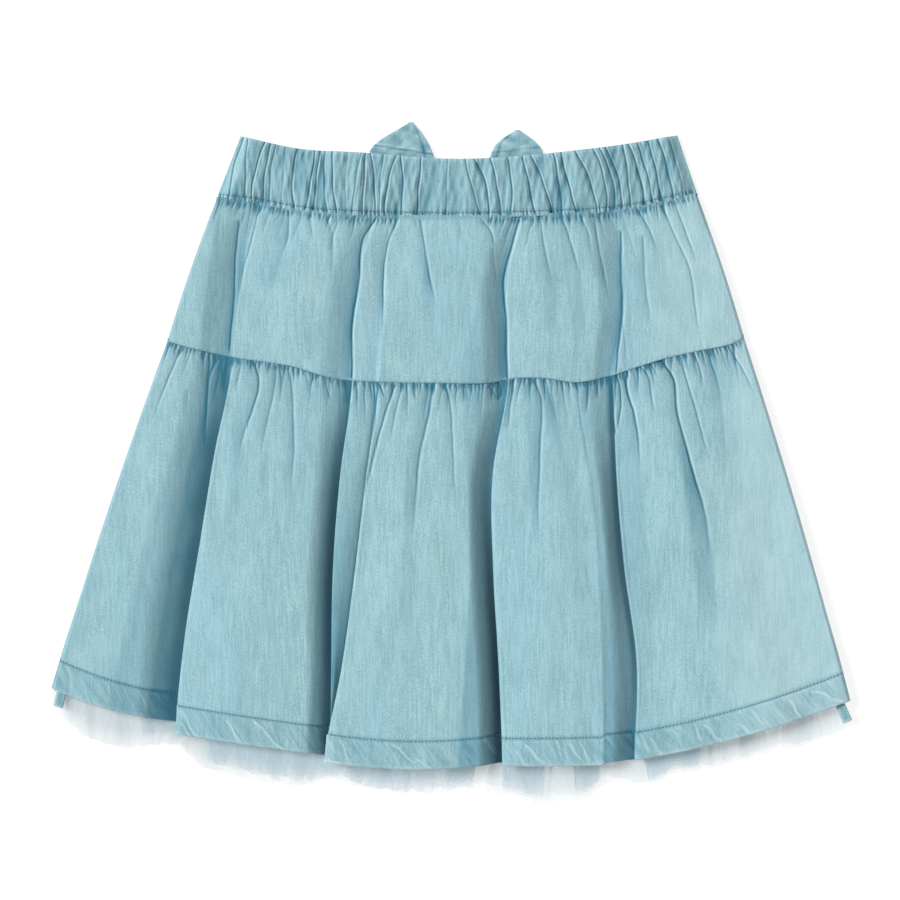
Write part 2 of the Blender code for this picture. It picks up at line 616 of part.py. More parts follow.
def add_seam_ends():
    """The overlocked ends of the side seams, on the tulle just below the hem's corners."""
    for name, hidden, cut, width in SEAM_ENDS:
        along = Vector((cut[0] - hidden[0], cut[1] - hidden[1])).normalized()
        across = Vector((along.y, -along.x)) * width / 2.0
        level = TULLE_Z + 4 * TULLE_STEP + (SEAM_END_WALL - TULLE_WALL) / 2
        rows = []
        for t in (0.0, 0.5, 1.0):
            x = mix(hidden[0], cut[0], t)
            y = mix(hidden[1], cut[1], t)
            rows.append([point(x + s * across.x, y + s * across.y, level) for s in (-1, 0, 1)])
        add_wall(name, rows, SEAM_END_WALL)


def add_bow_loop(name, stations):
    """A loop of the bow: a flat strip that runs out to its tip, turns up and comes back."""
    low = LOOP_WALL / 2.0 + BOW_CLEARANCE
    high = low + LOOP_WALL + LOOP_LAYER_GAP
    outer, inner = (Vector(stations[-1][:2]), Vector(stations[-1][2:]))
    past = Vector((0.0, LOOP_TURN))
    turn = (*(outer + past), *(inner + past))
    path = [(row, low) for row in stations] + [(turn, mix(low, high, 0.5))]
    path += [(row, high) for row in reversed(stations)]
    rows = []
    for (x_out, y_out, x_in, y_in), z in path:
        shares = [j / LOOP_ACROSS for j in range(LOOP_ACROSS + 1)]
        rows.append([Vector((mix(x_out, x_in, p), mix(y_out, y_in, p), z)) * MM for p in shares])
    add_wall(name, rows, LOOP_WALL)


def add_bow():
    for name, stations in LOOPS.items():
        add_bow_loop(name, stations)
    bpy.ops.mesh.primitive_cube_add(size=1.0)
    knot = bpy.context.object
    knot.name = "bow_knot"
    knot.data.name = "bow_knot"
    for vertex in knot.data.vertices:
        vertex.co = Vector([c * s for c, s in zip(vertex.co, BOW_KNOT_SIZE)]) * MM
        vertex.co += Vector((BOW_KNOT[0], BOW_KNOT[1], BOW_KNOT_SIZE[2] / 2.0)) * MM
    for collection in list(knot.users_collection):
        collection.objects.unlink(knot)
    bpy.data.collections[COLLECTION].objects.link(knot)
    knot.data.materials.append(cloth_material("chambray"))
    rounded = knot.modifiers.new("rounded", "BEVEL")
    rounded.width = KNOT_ROUNDING * MM
    rounded.segments = 2


def main():
    for existing in list(bpy.data.objects):
        bpy.data.objects.remove(existing, do_unlink=True)
    collection = bpy.data.collections.new(COLLECTION)
    bpy.context.scene.collection.children.link(collection)
    add_front_tiers()
    add_petticoat()
    add_seam_ends()
    add_back_tiers()
    add_waistbands()
    add_bow()


main()
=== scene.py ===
"""The looks of a girl's tiered chambray skirt, laid flat with its back up over a tulle petticoat.

Each cloth piece is a fine sheet on its solid's form, so the tables of edges, folds and panels
repeat those of the solids, in millimetres. Four values follow the photograph instead: the upper
tier's part of the fold "centre_right", the rise of "box_edge", STEP_HALF_WIDTH and SIDE_ROLL.
"""

import math
import random
from collections import namedtuple

import bpy
import numpy as np
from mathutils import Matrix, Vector

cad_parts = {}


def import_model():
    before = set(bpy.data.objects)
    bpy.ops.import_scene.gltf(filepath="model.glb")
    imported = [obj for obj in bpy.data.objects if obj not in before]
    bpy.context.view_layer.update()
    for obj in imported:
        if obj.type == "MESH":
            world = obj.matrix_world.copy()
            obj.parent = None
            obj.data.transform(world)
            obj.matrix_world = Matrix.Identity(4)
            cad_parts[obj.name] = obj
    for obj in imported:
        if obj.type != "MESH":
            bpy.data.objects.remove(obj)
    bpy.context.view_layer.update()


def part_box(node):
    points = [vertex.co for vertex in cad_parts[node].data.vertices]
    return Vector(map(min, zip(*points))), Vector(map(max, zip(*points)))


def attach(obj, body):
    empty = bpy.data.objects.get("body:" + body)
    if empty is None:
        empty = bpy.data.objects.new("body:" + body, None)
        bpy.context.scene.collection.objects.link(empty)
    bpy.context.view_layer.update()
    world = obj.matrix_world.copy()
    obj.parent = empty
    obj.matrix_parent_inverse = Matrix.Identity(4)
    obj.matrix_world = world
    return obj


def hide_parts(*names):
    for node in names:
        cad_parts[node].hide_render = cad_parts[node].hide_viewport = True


MM = 0.001
BODY = "root"

# Walls and heights of the layers, as in the solids, and the gaps between pieces
CLOTH_WALL = 1.2
BAND_WALL = 2.2
TULLE_WALL = 1.0
SEAM_GAP = 0.5
TIER_SEAM_GAP = 0.1
LAYER_GAP = 0.3
TULLE_STEP = TULLE_WALL + 0.4
TULLE_Z = CLOTH_WALL + LAYER_GAP + TULLE_WALL / 2
BACK_Z = TULLE_Z + 4 * TULLE_STEP + LAYER_GAP
SIDE_Z = CLOTH_WALL + LAYER_GAP + CLOTH_WALL / 2
BAND_BACK_Z = 7.2

# Edges of the pieces seen from above: x, y
WAIST_TOP = ((-125.1, 195.6), (-89.1, 187.8), (-50.1, 185.2), (-5.1, 181.8), (18.9, 181.8),
             (59.1, 184.8), (102.9, 190.2), (137.7, 196.2))
WAIST_SEAM = ((-139.5, 158.2), (-119.1, 155.9), (-89.1, 150.4), (-53.1, 147.6), (-29.1, 146.9),
              (18.9, 146.8), (66.9, 148.2), (102.9, 150.8), (126.9, 155.2), (149.7, 160.5))
TIER_SEAM = ((-168.9, 73.2), (-156.9, 69.6), (-130.5, 63.6), (-92.7, 57.6), (-70.5, 51.0),
             (-39.3, 48.6), (-6.3, 48.0), (25.5, 48.0), (39.9, 50.7), (58.5, 50.7),
             (75.9, 48.3), (95.1, 51.6), (115.5, 58.2), (131.1, 63.0), (149.7, 67.2),
             (170.7, 71.8), (177.6, 75.6))
TULLE_EDGE = ((-242.1, -144.0), (-223.5, -164.4), (-210.3, -171.0), (-188.7, -174.6),
              (-162.3, -173.6), (-151.5, -184.0), (-133.5, -189.6), (-85.5, -197.4),
              (-70.5, -193.4), (-49.5, -199.2), (-19.5, -201.6), (13.5, -197.4),
              (58.5, -204.6), (84.3, -200.4), (93.1, -193.6), (119.7, -194.4),
              (135.7, -186.4), (148.5, -185.4), (184.5, -176.4), (214.5, -169.8),
              (243.3, -160.8))
HEM_CORNERS = (-237.9, 240.9)
# Each tier's sides: x at the top and the bottom, left and right, and how far they bow out
Sides = namedtuple("Sides", "left right bow")
SIDES = {
    "upper": Sides((WAIST_SEAM[0][0], TIER_SEAM[0][0]), (WAIST_SEAM[-1][0], TIER_SEAM[-1][0]), 1.0),
    "lower": Sides((TIER_SEAM[0][0], HEM_CORNERS[0]), (TIER_SEAM[-1][0], HEM_CORNERS[1]), 2.0),
}
TOP_SEAM = {"upper": WAIST_SEAM, "lower": TIER_SEAM}

# Folds: the side they turn to, x at even steps down each tier, the rise, how far they lap over, how
# far the cloth at their left falls, the height they start from and how fully they turn over
Fold = namedtuple("Fold", "name over upper lower rise overlap fall base roll")
FOLDS = (
    Fold("left", 1, (-113.7, -120.9, -124.5, -128.1, -129.9),
         (-129.9, -140.1, -149.1, -158.1, -163.5), 5.8, 12.0, 24.0, 0.0, 1.0),
    Fold("centre_left_low", 1, (-43.5, -52.2, -55.5, -58.2, -58.5),
         (-58.5, -65.1, -69.3, -70.3, -70.8), 4.8, 12.0, 15.0, 0.0, 1.0),
    Fold("centre_left_high", 1, (-33.9, -38.1, -39.6, -41.1, -42.9),
         (-42.9, -49.5, -56.1, -63.9, -74.4), 6.0, 9.0, 9.0, 3.4, 1.0),
    Fold("centre_right", 1, (43.5, 36.6, 33.6, 34.6, 35.1),
         (35.1, 26.1, 26.7, 30.0, 32.1), 7.6, 13.0, 14.0, 0.0, 1.0),
    Fold("box_edge", -1, (66.0, 70.0, 73.0, 75.0, 75.9),
         (75.9, 84.9, 90.3, 92.8, 93.3), 0.6, 0.0, 16.0, 6.7, 0.0),
    Fold("right", 1, (101.7, 104.1, 105.3, 102.9, 98.1),
         (98.1, 99.9, 104.7, 112.2, 111.0), 6.0, 3.0, 16.0, 0.0, 0.55),
)
# Shares of the rise and of the turning over, at even steps down each tier
RISE = {"upper": (0.10, 0.42, 0.55, 0.5, 0.4), "lower": (0.4, 0.86, 1.0, 1.0, 1.0)}
ROLL = {"upper": (0.0, 0.25, 0.35, 0.3, 0.0), "lower": (0.0, 0.85, 1.0, 1.0, 1.0)}
UPPER_OVERLAP = 0.2
LOWER_OVERLAP_AT_SEAM = 0.45
STEP_HALF_WIDTH = 1.6
LEFT_PANEL_RISE = 6.4
RIGHT_PANEL_RISE = 3.2
SIDE_ROLL = 1.8
HEM_SIDE_LIFT = 7.4
FREE_FALL = 60.0
# Columns over which a panel's fine relief dies out beside a fold that turns over
FACE_EDGE = 3.0
Panel = namedtuple("Panel", "hem_left hem_right sag crown columns")
PANELS = (
    Panel(-134.4, -155.4, 4.2, 1.0, 120),
    Panel(-162.0, -176.4, 0.6, 1.6, 156),
    Panel(-177.0, -178.0, 0.0, 0.0, 26),
    Panel(-178.8, -177.6, 4.6, 1.2, 178),
    Panel(-181.2, -180.6, 0.2, 1.4, 112),
    Panel(-178.8, -177.6, 0.0, 0.0, 40),
    Panel(-177.6, -142.2, 3.4, 1.6, 200),
)
FOLD_STEPS = 14
NET_COLUMNS = 620
FRONT_COLUMNS = 300
BAND_COLUMNS = 720
BAND_ROWS = 50
BAND_FRONT_ROWS = 24
# How far an upper edge drops where it goes on beneath the piece above it
TUCK_DROP = 0.9

# The shade that gathers on the lower cloth beside a fold's edge: how wide and how deep it is in
# each tier, then how wide and how deep its dark core is at even steps down the lower tier
Shade = namedtuple("Shade", "width depth upper_width upper_depth core_width core")
SHADES = {
    "left": Shade(24.0, 0.95, 13.0, 0.42, 7.0, (0.1, 0.45, 0.6, 0.6, 0.5)),
    "centre_left_low": Shade(12.0, 0.95, 6.0, 0.42, 6.2, (0.35, 0.75, 0.95, 0.9, 0.85)),
    "centre_left_high": Shade(6.0, 0.40, 3.0, 0.30, 1.2, (0.2, 0.4, 0.5, 0.55, 0.55)),
    "centre_right": Shade(12.0, 0.90, 10.0, 0.30, 5.0, (0.1, 0.25, 0.8, 1.0, 0.95)),
    "right": Shade(7.0, 0.75, 5.0, 0.42, 2.8, (0.6, 0.9, 0.85, 0.6, 0.2)),
}

# How steeply a shade falls off
SHADE_FALL = 1.4

# Bow under the waistband. It lifts the cloth by BOW_LIFT from its centre to BOW_FLAT away, and by
# nothing past BOW_SPREAD. Its loops have stations from the knot to the tip, each with x and y of one
# edge and then of the other.
BOW_LIFT = 4.2
BOW_CENTRE_X = 5.0
BOW_FLAT = 66.0
BOW_SPREAD = 110.0
BOW_REACH = 0.42
BOW_LOOPS = {
    "bow_loop_left": ((2.2, 161.0, 2.2, 171.0), (-26.0, 167.0, -4.0, 176.0),
                      (-50.1, 185.6, -7.8, 181.8), (-42.3, 193.8, -11.1, 190.8),
                      (-32.0, 199.8, -15.9, 198.6), (-24.0, 204.3, -21.0, 204.3)),
    "bow_loop_right": ((16.4, 161.0, 16.4, 171.0), (42.0, 166.0, 22.0, 176.0),
                       (59.1, 185.4, 24.3, 183.0), (51.9, 193.8, 27.9, 191.4),
                       (47.1, 197.1, 33.9, 196.2), (43.2, 199.6, 40.2, 199.6)),
}
# A pressed line across each loop: its y at x = 0, its slope and its strength
BOW_PRESSED = {"bow_loop_left": (184.3, -0.15, 1.0), "bow_loop_right": (183.5, 0.12, 0.5)}
LOOP_WALL = 1.0
BOW_CLEARANCE = 0.1
LOOP_LAYER_GAP = 1.0
LOOP_ROWS = 46
LOOP_COLUMNS = 41
LOOP_SMOOTHING = 12

# Creases placed one by one. Each has points (x, y) down its length, the strength of its dark line of
# painted shade, the strength and width of the painted shade at its left, and the share of its length
# over which it fades out.
Stroke = namedtuple("Stroke", "path line shade width ease")
UPPER_STROKES = [Stroke(*row) for row in (
    (((-126, 145), (-128, 118), (-130, 83), (-132, 63)), 0.8, 0.35, 3, 0.1),
    (((-113, 154), (-118, 135), (-123, 116), (-125, 97)), 0.6, 0.15, 1.8, 0.4),
    (((-121, 155), (-126, 137)), 0.4, 0.1, 1.8, 0.5),
    (((-96, 151), (-97, 134), (-100, 123)), 0.5, 0.35, 4.8, 0.4),
    (((-99, 128), (-108, 95)), 0, 0.25, 5.4, 0.5),
    (((-105, 154), (-109, 147), (-112, 135)), 0.4, 0.2, 3, 0.5),
    (((-115, 156), (-117, 147)), 0.4, 0.2, 2.4, 0.5),
    (((-83, 149), (-81, 131)), 0.45, 0.2, 2.4, 0.5),
    (((-74, 148), (-70, 137), (-71, 103)), 0.4, 0.15, 2.4, 0.5),
    (((-66, 145), (-70, 133), (-71, 123)), 0.55, 0.2, 1.8, 0.4),
    (((-44, 146), (-51, 134), (-54, 110), (-58, 80), (-58, 50)), 0.95, 0.45, 4.2, 0.02),
    (((-30, 147), (-36, 134), (-39, 110), (-40, 75)), 0.75, 0.35, 3, 0.35),
    (((-54, 147), (-52, 141)), 0.5, 0.2, 1.8, 0.5),
    (((-60, 147), (-59, 139)), 0.3, 0.15, 1.8, 0.5),
    (((-17, 146), (-14, 125), (-7, 92)), 0.7, 0.25, 2.4, 0.35),
    (((-20, 146), (-19, 140)), 0.4, 0.1, 1.2, 0.5),
    (((6, 146), (7.5, 133)), 0.3, 0.1, 1.8, 0.5),
    (((19.5, 146), (25, 139), (27, 129)), 0.7, 0.25, 2.4, 0.3),
    (((27, 128), (29, 103)), 0.3, 0.15, 2.4, 0.5),
    (((42, 146), (37, 128), (33, 108), (34.5, 80), (35, 50)), 0.9, 0.45, 4.8, 0.02),
    (((55, 148), (58, 124), (62, 107)), 0.6, 0.2, 2.4, 0.4),
    (((67, 148), (74, 129), (79, 111)), 0.7, 0.3, 3, 0.4),
    (((79.5, 148), (84, 135), (85, 121)), 0.5, 0.2, 2.4, 0.4),
    (((87, 149), (90, 129), (96, 95)), 0.7, 0.3, 3, 0.4),
    (((103, 139), (103.5, 87), (100, 52)), 0.8, 0.4, 3, 0.05),
    (((103.5, 88), (107, 57)), 0.35, 0.1, 1.8, 0.3),
    (((113, 152), (120, 140), (126, 125)), 0.55, 0.3, 3, 0.4),
    (((116, 136), (118, 107), (121.5, 76)), 0.45, 0.3, 3, 0.4),
    (((127.5, 155), (135, 138), (144, 116), (148, 93), (151, 67)), 0.6, 0.15, 2.4, 0.4),
    (((135, 157), (143, 135), (150, 118)), 0.6, 0.2, 2.4, 0.4),
    (((150, 158), (157.5, 135)), 0.35, 0.3, 3.6, 0.5),
    (((95, 150), (98, 145), (101, 136)), 0.35, 0.2, 2.4, 0.5),
    (((104, 149), (114, 116)), 0.15, 0.2, 3, 0.5),
    (((-136, 156), (-138, 128)), 0.1, 0.2, 3.6, 0.5),
)]
LOWER_STROKES = [Stroke(*row) for row in (
    (((-161, 68), (-168, 51), (-179, 20)), 0.75, 0.1, 1.8, 0.6),
    (((-138, 63), (-143, 53), (-145.5, 26), (-146, 5)), 0.75, 0.3, 3, 0.4),
    (((-156, 44), (-157, 31)), 0.35, 0.2, 2.4, 0.5),
    (((-135, 62), (-137, 52)), 0.6, 0.2, 1.8, 0.5),
    (((-130, 62), (-133.5, 53), (-134, 39)), 0.8, 0.3, 3, 0.4),
    (((-124.5, 61), (-128, 41)), 0.6, 0.2, 1.8, 0.5),
    (((-117, 61), (-114, 50), (-117, 34), (-124, 13), (-126, -1)), 0.8, 0.4, 5.4, 0.5),
    (((-103.5, 58), (-104, 46), (-109.5, 23), (-113, -1)), 0.55, 0.3, 3.6, 0.5),
    (((-97, 58), (-94, 44), (-93, 12), (-95, -28)), 0.6, 0.3, 4.8, 0.5),
    (((-89, 56), (-90, 50)), 0.4, 0.1, 1.8, 0.5),
    (((-73.5, 49), (-72, 42), (-69, 37)), 0.6, 0.2, 1.8, 0.4),
    (((-66, 50), (-66, 43)), 0.5, 0.1, 1.8, 0.5),
    (((-62, 50), (-61, 43)), 0.6, 0.2, 1.8, 0.5),
    (((-78, 50), (-78, 43)), 0.3, 0.2, 2.4, 0.5),
    (((-58.5, 50), (-60, 35)), 0.9, 0.4, 3, 0.1),
    (((-45, 48), (-44, 38), (-45, 16)), 0.6, 0.2, 2.4, 0.5),
    (((-42, 48), (-38, 38)), 0.8, 0.2, 1.8, 0.4),
    (((-32, 47), (-37, 34), (-43, 11), (-52, -22)), 0.9, 0.25, 3, 0.3),
    (((-27, 47), (-31, 34), (-36, 11)), 0.6, 0.25, 3, 0.5),
    (((-22, 47), (-19.5, 37)), 0.6, 0.1, 1.2, 0.4),
    (((-9, 47), (-12, 31), (-18, 0), (-22, -49)), 0.7, 0.4, 6, 0.55),
    (((-2, 47), (1, 36), (2, 10), (5, -31)), 0.6, 0.25, 3.6, 0.5),
    (((10.5, 47), (10.5, 35)), 0.4, 0.2, 2.4, 0.5),
    (((16.5, 47), (17, 40)), 0.35, 0.1, 1.8, 0.5),
    (((24, 46), (29, 39)), 0.5, 0.3, 2.4, 0.4),
    (((30, 49), (31.5, 42), (29, 37)), 0.9, 0.4, 2.4, 0.2),
    (((39, 50), (37.5, 37), (34, 14)), 0.65, 0.4, 3.6, 0.5),
    (((51, 50), (55, 38), (54, 0), (53, -46)), 0.65, 0.3, 4.8, 0.4),
    (((58.5, 50), (62, 35), (64.5, 23)), 0.2, 0.4, 3.6, 0.5),
    (((76, 49), (80, 22), (85, -13)), 0.35, 0.1, 1.8, 0.4),
    (((84, 50), (82, 28)), 0.75, 0.25, 1.8, 0.35),
    (((90, 50), (89, 37)), 0.6, 0.2, 1.8, 0.4),
    (((97, 52), (98, 38), (100, 16)), 0.95, 0.4, 3, 0.1),
    (((101, 53), (103, 43), (100.5, 17)), 0.85, 0.25, 2.4, 0.3),
    (((107, 56), (106, 48), (111, 30), (115, -13)), 0.9, 0.3, 4.2, 0.6),
    (((114, 59), (119, 53), (121, 40), (124, 26)), 0.7, 0.3, 3, 0.5),
    (((121, 60), (126, 50)), 0.6, 0.2, 2.4, 0.5),
    (((127, 62), (134, 51), (136.5, 33), (144, 1), (152, -25), (156, -58)), 0.95, 0.42, 5.5,
     0.45),
    (((139, 64), (146, 37), (158, -4)), 0.7, 0.15, 3, 0.4),
    (((147, 66), (151, 53), (153, 43)), 0.7, 0.2, 2.4, 0.45),
    (((167, 71), (174, 60), (184, 39)), 0.6, 0.15, 2.4, 0.5),
    (((159, 68), (163, 38), (167, -10)), 0.1, 0.25, 5.4, 0.5),
    (((172, 73), (175.5, 67)), 0.4, 0.1, 1.2, 0.5),
)]
# Soft shade between two paths on the panels from the first to the last, over a span of y, with its
# strength at even steps down the span and the softness of its two sides.
Tone = namedtuple("Tone", "panels left right span shades soft")
UPPER_TONES = [Tone(*row) for row in (
    ((0, 0), ((-138, 155), (-145, 108), (-150, 62)), None, (155, 63),
     (0.1, 0.22, 0.28, 0.32), (2.4, 0.6)),
    ((1, 1), ((-69, 137), (-74, 98), (-78, 50)), None, (137, 50),
     (0.05, 0.16, 0.18, 0.22), (2.4, 0.6)),
    ((3, 3), ((23, 128), (8, 50)), None, (134, 49), (0, 0.15, 0.22, 0.28), (7.2, 0.6)),
    ((3, 3), ((29, 110), (30, 50)), None, (110, 49), (0, 0.2, 0.3), (1.8, 0.6)),
    ((5, 5), ((90, 140), (91, 115), (88, 51)), None, (143, 51),
     (0.1, 0.26, 0.28, 0.34), (3, 0.6)),
    ((0, 9), ((-15, 125), (-16, 77)), ((-12, 125), (-7, 77)), (131, 71),
     (0, 0.3, 0.2, 0), (1.8, 1.2)),
    ((0, 9), ((58, 122), (57, 77)), ((63, 122), (65, 77)), (125, 71),
     (0, 0.25, 0.15, 0), (1.8, 2.4)),
    ((0, 9), ((74, 131), (75, 71)), ((79, 131), (82, 71)), (131, 59),
     (0, 0.25, 0.2, 0), (2.4, 3)),
    ((0, 9), ((121, 137), (125, 98)), ((128, 137), (131, 98)), (143, 86),
     (0, 0.15, 0.1, 0), (2.4, 3.6)),
    ((6, 9), ((91, 137), (91, 50)), ((106, 137), (110, 50)), (140, 55),
     (0.05, 0.12, 0.12), (0.6, 4.8)),
)]
LOWER_TONES = [Tone(*row) for row in (
    ((0, 0), ((-151, 62), (-166, 8), (-184, -58), (-201, -136)), None, (65, -136),
     (0.2, 0.3, 0.32, 0.28), (7.2, 0.6)),
    ((0, 0), ((-141, 61), (-152, 14), (-163, -40), (-179, -136)), None, (65, -136),
     (0.3, 0.44, 0.46, 0.4), (4.8, 0.6)),
    ((1, 1), ((-77, 47), (-77, -34), (-84, -166)), None, (47, -166),
     (0.1, 0.38, 0.42, 0.42), (3, 0.6)),
    ((2, 2), None, None, (50, -166), (0, 0.1, 0.2, 0.4, 0.65, 0.85, 0.9), (0.6, 0.6)),
    ((3, 3), ((7.5, 47), (12, -10), (13, -60), (6, -172)), None, (50, -169),
     (0.2, 0.32, 0.38, 0.4, 0.42), (3, 0.6)),
    ((4, 5), ((76, 48), (85, -10), (91, -66), (93, -169)), None, (47, -169),
     (0.25, 0.26, 0.34, 0.44, 0.52), (2.4, 0.6)),
    ((6, 9), None, ((107, 50), (115, -10), (122, -82), (124, -118)), (50, -130),
     (0.1, 0.12, 0.2, 0.26, 0.22, 0.1), (0.6, 4.8)),
    ((0, 9), ((-26, 5), (-27, -58), (-31, -106)), ((-19, 5), (-20, -58), (-24, -106)),
     (8, -112), (0, 0.22, 0.18, 0.1, 0), (3, 3)),
    ((0, 9), ((46, 41), (50, -34)), ((55, 41), (54, -34)), (44, -58),
     (0, 0.18, 0.15, 0), (4.8, 1.2)),
    ((0, 9), ((136, 20), (145, -46), (149, -82)), ((140, 20), (156, -46), (160, -88)),
     (23, -106), (0, 0.42, 0.44, 0.34, 0), (3.6, 2.4)),
    ((0, 9), ((57, 41), (60, 14)), ((64, 41), (67, 14)), (44, -4), (0, 0.25, 0.1, 0),
     (2.4, 3)),
    ((0, 9), ((-130, 20), (-132, -34)), ((-124, 20), (-126, -34)), (29, -58),
     (0, 0.22, 0.14, 0), (3, 3)),
    ((0, 9), ((-112, 14), (-113, -22)), ((-108, 14), (-108, -22)), (23, -46),
     (0, 0.16, 0.1, 0), (2.4, 3.6)),
)]

# Folds of the elastic casing: x at its top, middle and bottom, depth, half width
BandCrease = namedtuple("BandCrease", "top middle bottom depth half_width")
BAND_CREASES = [BandCrease(*row) for row in (
    (-123.4, -129.4, -132.1, 0.8, 2.0), (-120.8, -122.0, -122.0, 0.8, 1.2),
    (-110.3, -116.4, -118.4, 1.4, 1.3), (-106.7, -110.4, -111.5, 0.9, 1.2),
    (-103.9, -107.1, -107.5, 0.8, 1.2), (-98.0, -99.5, -100.5, 0.5, 1.8),
    (-90.7, -93.9, -92.4, 1.3, 1.4), (-80.2, -82.8, -86.7, 1.1, 1.2),
    (-77.3, -79.6, -81.0, 0.9, 1.2), (-74.2, -74.7, -72.6, 0.7, 1.4),
    (-69.5, -69.5, -66.9, 1.1, 1.3), (-60.5, -62.0, -61.5, 0.5, 1.6),
    (-52.6, -56.1, -58.0, 0.7, 1.3), (-49.8, -50.9, -52.1, 1.4, 1.2),
    (-46.6, -44.5, -44.4, 1.1, 1.2), (-39.3, -41.2, -41.6, 0.7, 1.2),
    (-31.8, -36.9, -38.4, 1.4, 1.3), (-28.6, -27.6, -29.2, 1.1, 1.2),
    (-16.5, -18.0, -19.0, 1.4, 1.2), (-0.9, -1.3, -1.5, 0.6, 1.6),
    (9.9, 14.1, 19.5, 0.8, 1.4), (15.8, 22.7, 23.7, 1.4, 1.2),
    (24.9, 29.1, 31.3, 1.1, 1.2), (35.1, 37.7, 36.7, 1.1, 1.2),
    (44.1, 48.3, 51.7, 1.3, 1.2), (49.5, 57.1, 62.4, 1.4, 1.2),
    (62.7, 66.1, 68.1, 1.0, 1.2), (67.2, 71.6, 77.1, 1.3, 1.2),
    (75.8, 84.7, 88.9, 1.3, 1.3), (86.7, 93.3, 94.6, 0.9, 1.3),
    (90.4, 98.0, 99.6, 0.9, 1.2), (94.0, 101.7, 104.0, 1.1, 1.2),
    (104.6, 107.4, 109.2, 1.1, 1.2), (107.9, 114.4, 117.6, 1.3, 1.2),
    (113.0, 118.9, 122.6, 0.9, 1.2), (119.7, 124.4, 128.1, 1.1, 1.2),
    (125.7, 131.3, 135.0, 1.2, 1.2), (131.6, 137.4, 141.0, 0.7, 1.3),
)]

# Gathers at the seams: pitch along the seam, shortest and longest reach, least and most depth
Gathers = namedtuple("Gathers", "seed pitch short long shallow deep")
WAIST_GATHERS = Gathers(5, 4.4, 6.0, 24.0, 0.4, 1.1)
WAIST_PUCKERS = Gathers(7, 2.2, 3.0, 8.0, 0.6, 1.2)
TIER_GATHERS = Gathers(11, 4.0, 7.0, 34.0, 0.5, 1.3)
TIER_PUCKERS = Gathers(13, 2.1, 3.5, 8.5, 0.4, 0.9)
PUCKERS_ABOVE_TIER = Gathers(17, 3.0, 2.0, 6.0, 0.2, 0.6)
BAND_PUCKERS = Gathers(29, 2.9, 4.0, 13.0, 0.4, 1.1)
BAND_RIPPLES = Gathers(37, 2.1, 4.0, 7.0, 0.6, 1.2)
BAND_TOP_PUCKERS = Gathers(31, 3.6, 3.0, 12.0, 0.3, 0.9)
FRONT_BAND_DIPS = Gathers(47, 5.2, 60.0, 90.0, 0.4, 1.0)
# The waist seam has almost no gathers between these x
FLAT_WAIST = (-30.0, 22.0)
FLAT_SHARE = 0.15
# Gathers: half the width of their lines, where the pale edge lies beside the line, how far from the
# seam they are at full depth and stop swaying, and half widths at the left and right of a gather
# with their growth away from the seam
LINE_HALF = 0.5
EDGE_BESIDE = 1.1
GATHER_FULL = 1.6
GATHER_SWAYS = 8.0
GATHER_LEFT = (1.7, 0.12)
GATHER_RIGHT = (0.42, 0.02)

# Creases placed one by one: half the width of the line and its growth with the shade's width, the
# depth, and the place, half width and strength of the painted highlight beside the line
STROKE_HALF = 0.34
STROKE_HALF_GROWTH = 0.06
STROKE_DEPTH = 0.6
STROKE_EDGE = (0.8, 0.7, 0.8)

# Soft, irregular waves: seed, size across and down, and how many there are where not nine
HEM_WEAR = (61, 40.0, 50.0)
HEM_DAPPLE = (67, 2.8, 18.0, 24)
BAND_SWELL = (41, 11.0, 42.0)
BAND_FINE_SWELL = (42, 3.4, 12.0, 16)
FRONT_WAVES = (43, 30.0, 90.0)
BOW_WAVES = (53, 9.0, 6.0, 12)

# A sheet's rows: how many over its top and bottom, the shares that these take, and how many between
Rows = namedtuple("Rows", "top bottom fine_top fine_bottom middle")
TIER_ROWS = {"upper": Rows(34, 12, 0.34, 0.10, 20), "lower": Rows(34, 26, 0.16, 0.115, 30)}
# The pale edges of gathers, part wear and part painted highlight, fade over NEAR_SEAM. The left side
# faces the lamp, and painted shade tones it down.
NEAR_SEAM = 7.0
LIT_SIDE_WIDTH = 1.4
LIT_SIDE_SHADE = 0.55

# How each tier is drawn: its gathers, puckers, creases and tones; its soft swells, their seed, size
# across and down, and reach from the seam; its height over the solid's middle; the dip at the seam and
# its painted shade; painted light that makes the cloth paler from an x to the right; then the strengths
# of pale edges, part wear and part painted highlight, and of dark lines and cores of painted shade
Look = namedtuple("Look", "gathers puckers strokes tones swell seed swell_size swell_start raised "
                  "tuck_half tuck_depth tuck_dark faded faded_from faded_over edge fine_edge line "
                  "fine_line creased core seam_core")
LOOKS = {
    "upper": Look(WAIST_GATHERS, WAIST_PUCKERS, UPPER_STROKES, UPPER_TONES, swell=0.25, seed=37,
                  swell_size=(22.0, 80.0), swell_start=25.0, raised=0.9, tuck_half=1.0,
                  tuck_depth=0.5, tuck_dark=0.3, faded=0.35, faded_from=106.0, faded_over=36.0,
                  edge=0.5, fine_edge=1.0, line=0.8, fine_line=1.1, creased=0.3, core=0.75,
                  seam_core=0.0),
    "lower": Look(TIER_GATHERS, TIER_PUCKERS, LOWER_STROKES, LOWER_TONES, swell=0.3, seed=31,
                  swell_size=(26.0, 90.0), swell_start=30.0, raised=0.8, tuck_half=0.5,
                  tuck_depth=0.25, tuck_dark=0.4, faded=0.4, faded_from=148.0, faded_over=40.0,
                  edge=0.6, fine_edge=1.4, line=1.0, fine_line=1.7, creased=0.4, core=0.8,
                  seam_core=0.25),
}

# Hem
HEM_DEPTH = 16.5
HEM_PUCKERS = 90
HEM_SEED = 23
HEM_SLANT = 0.75
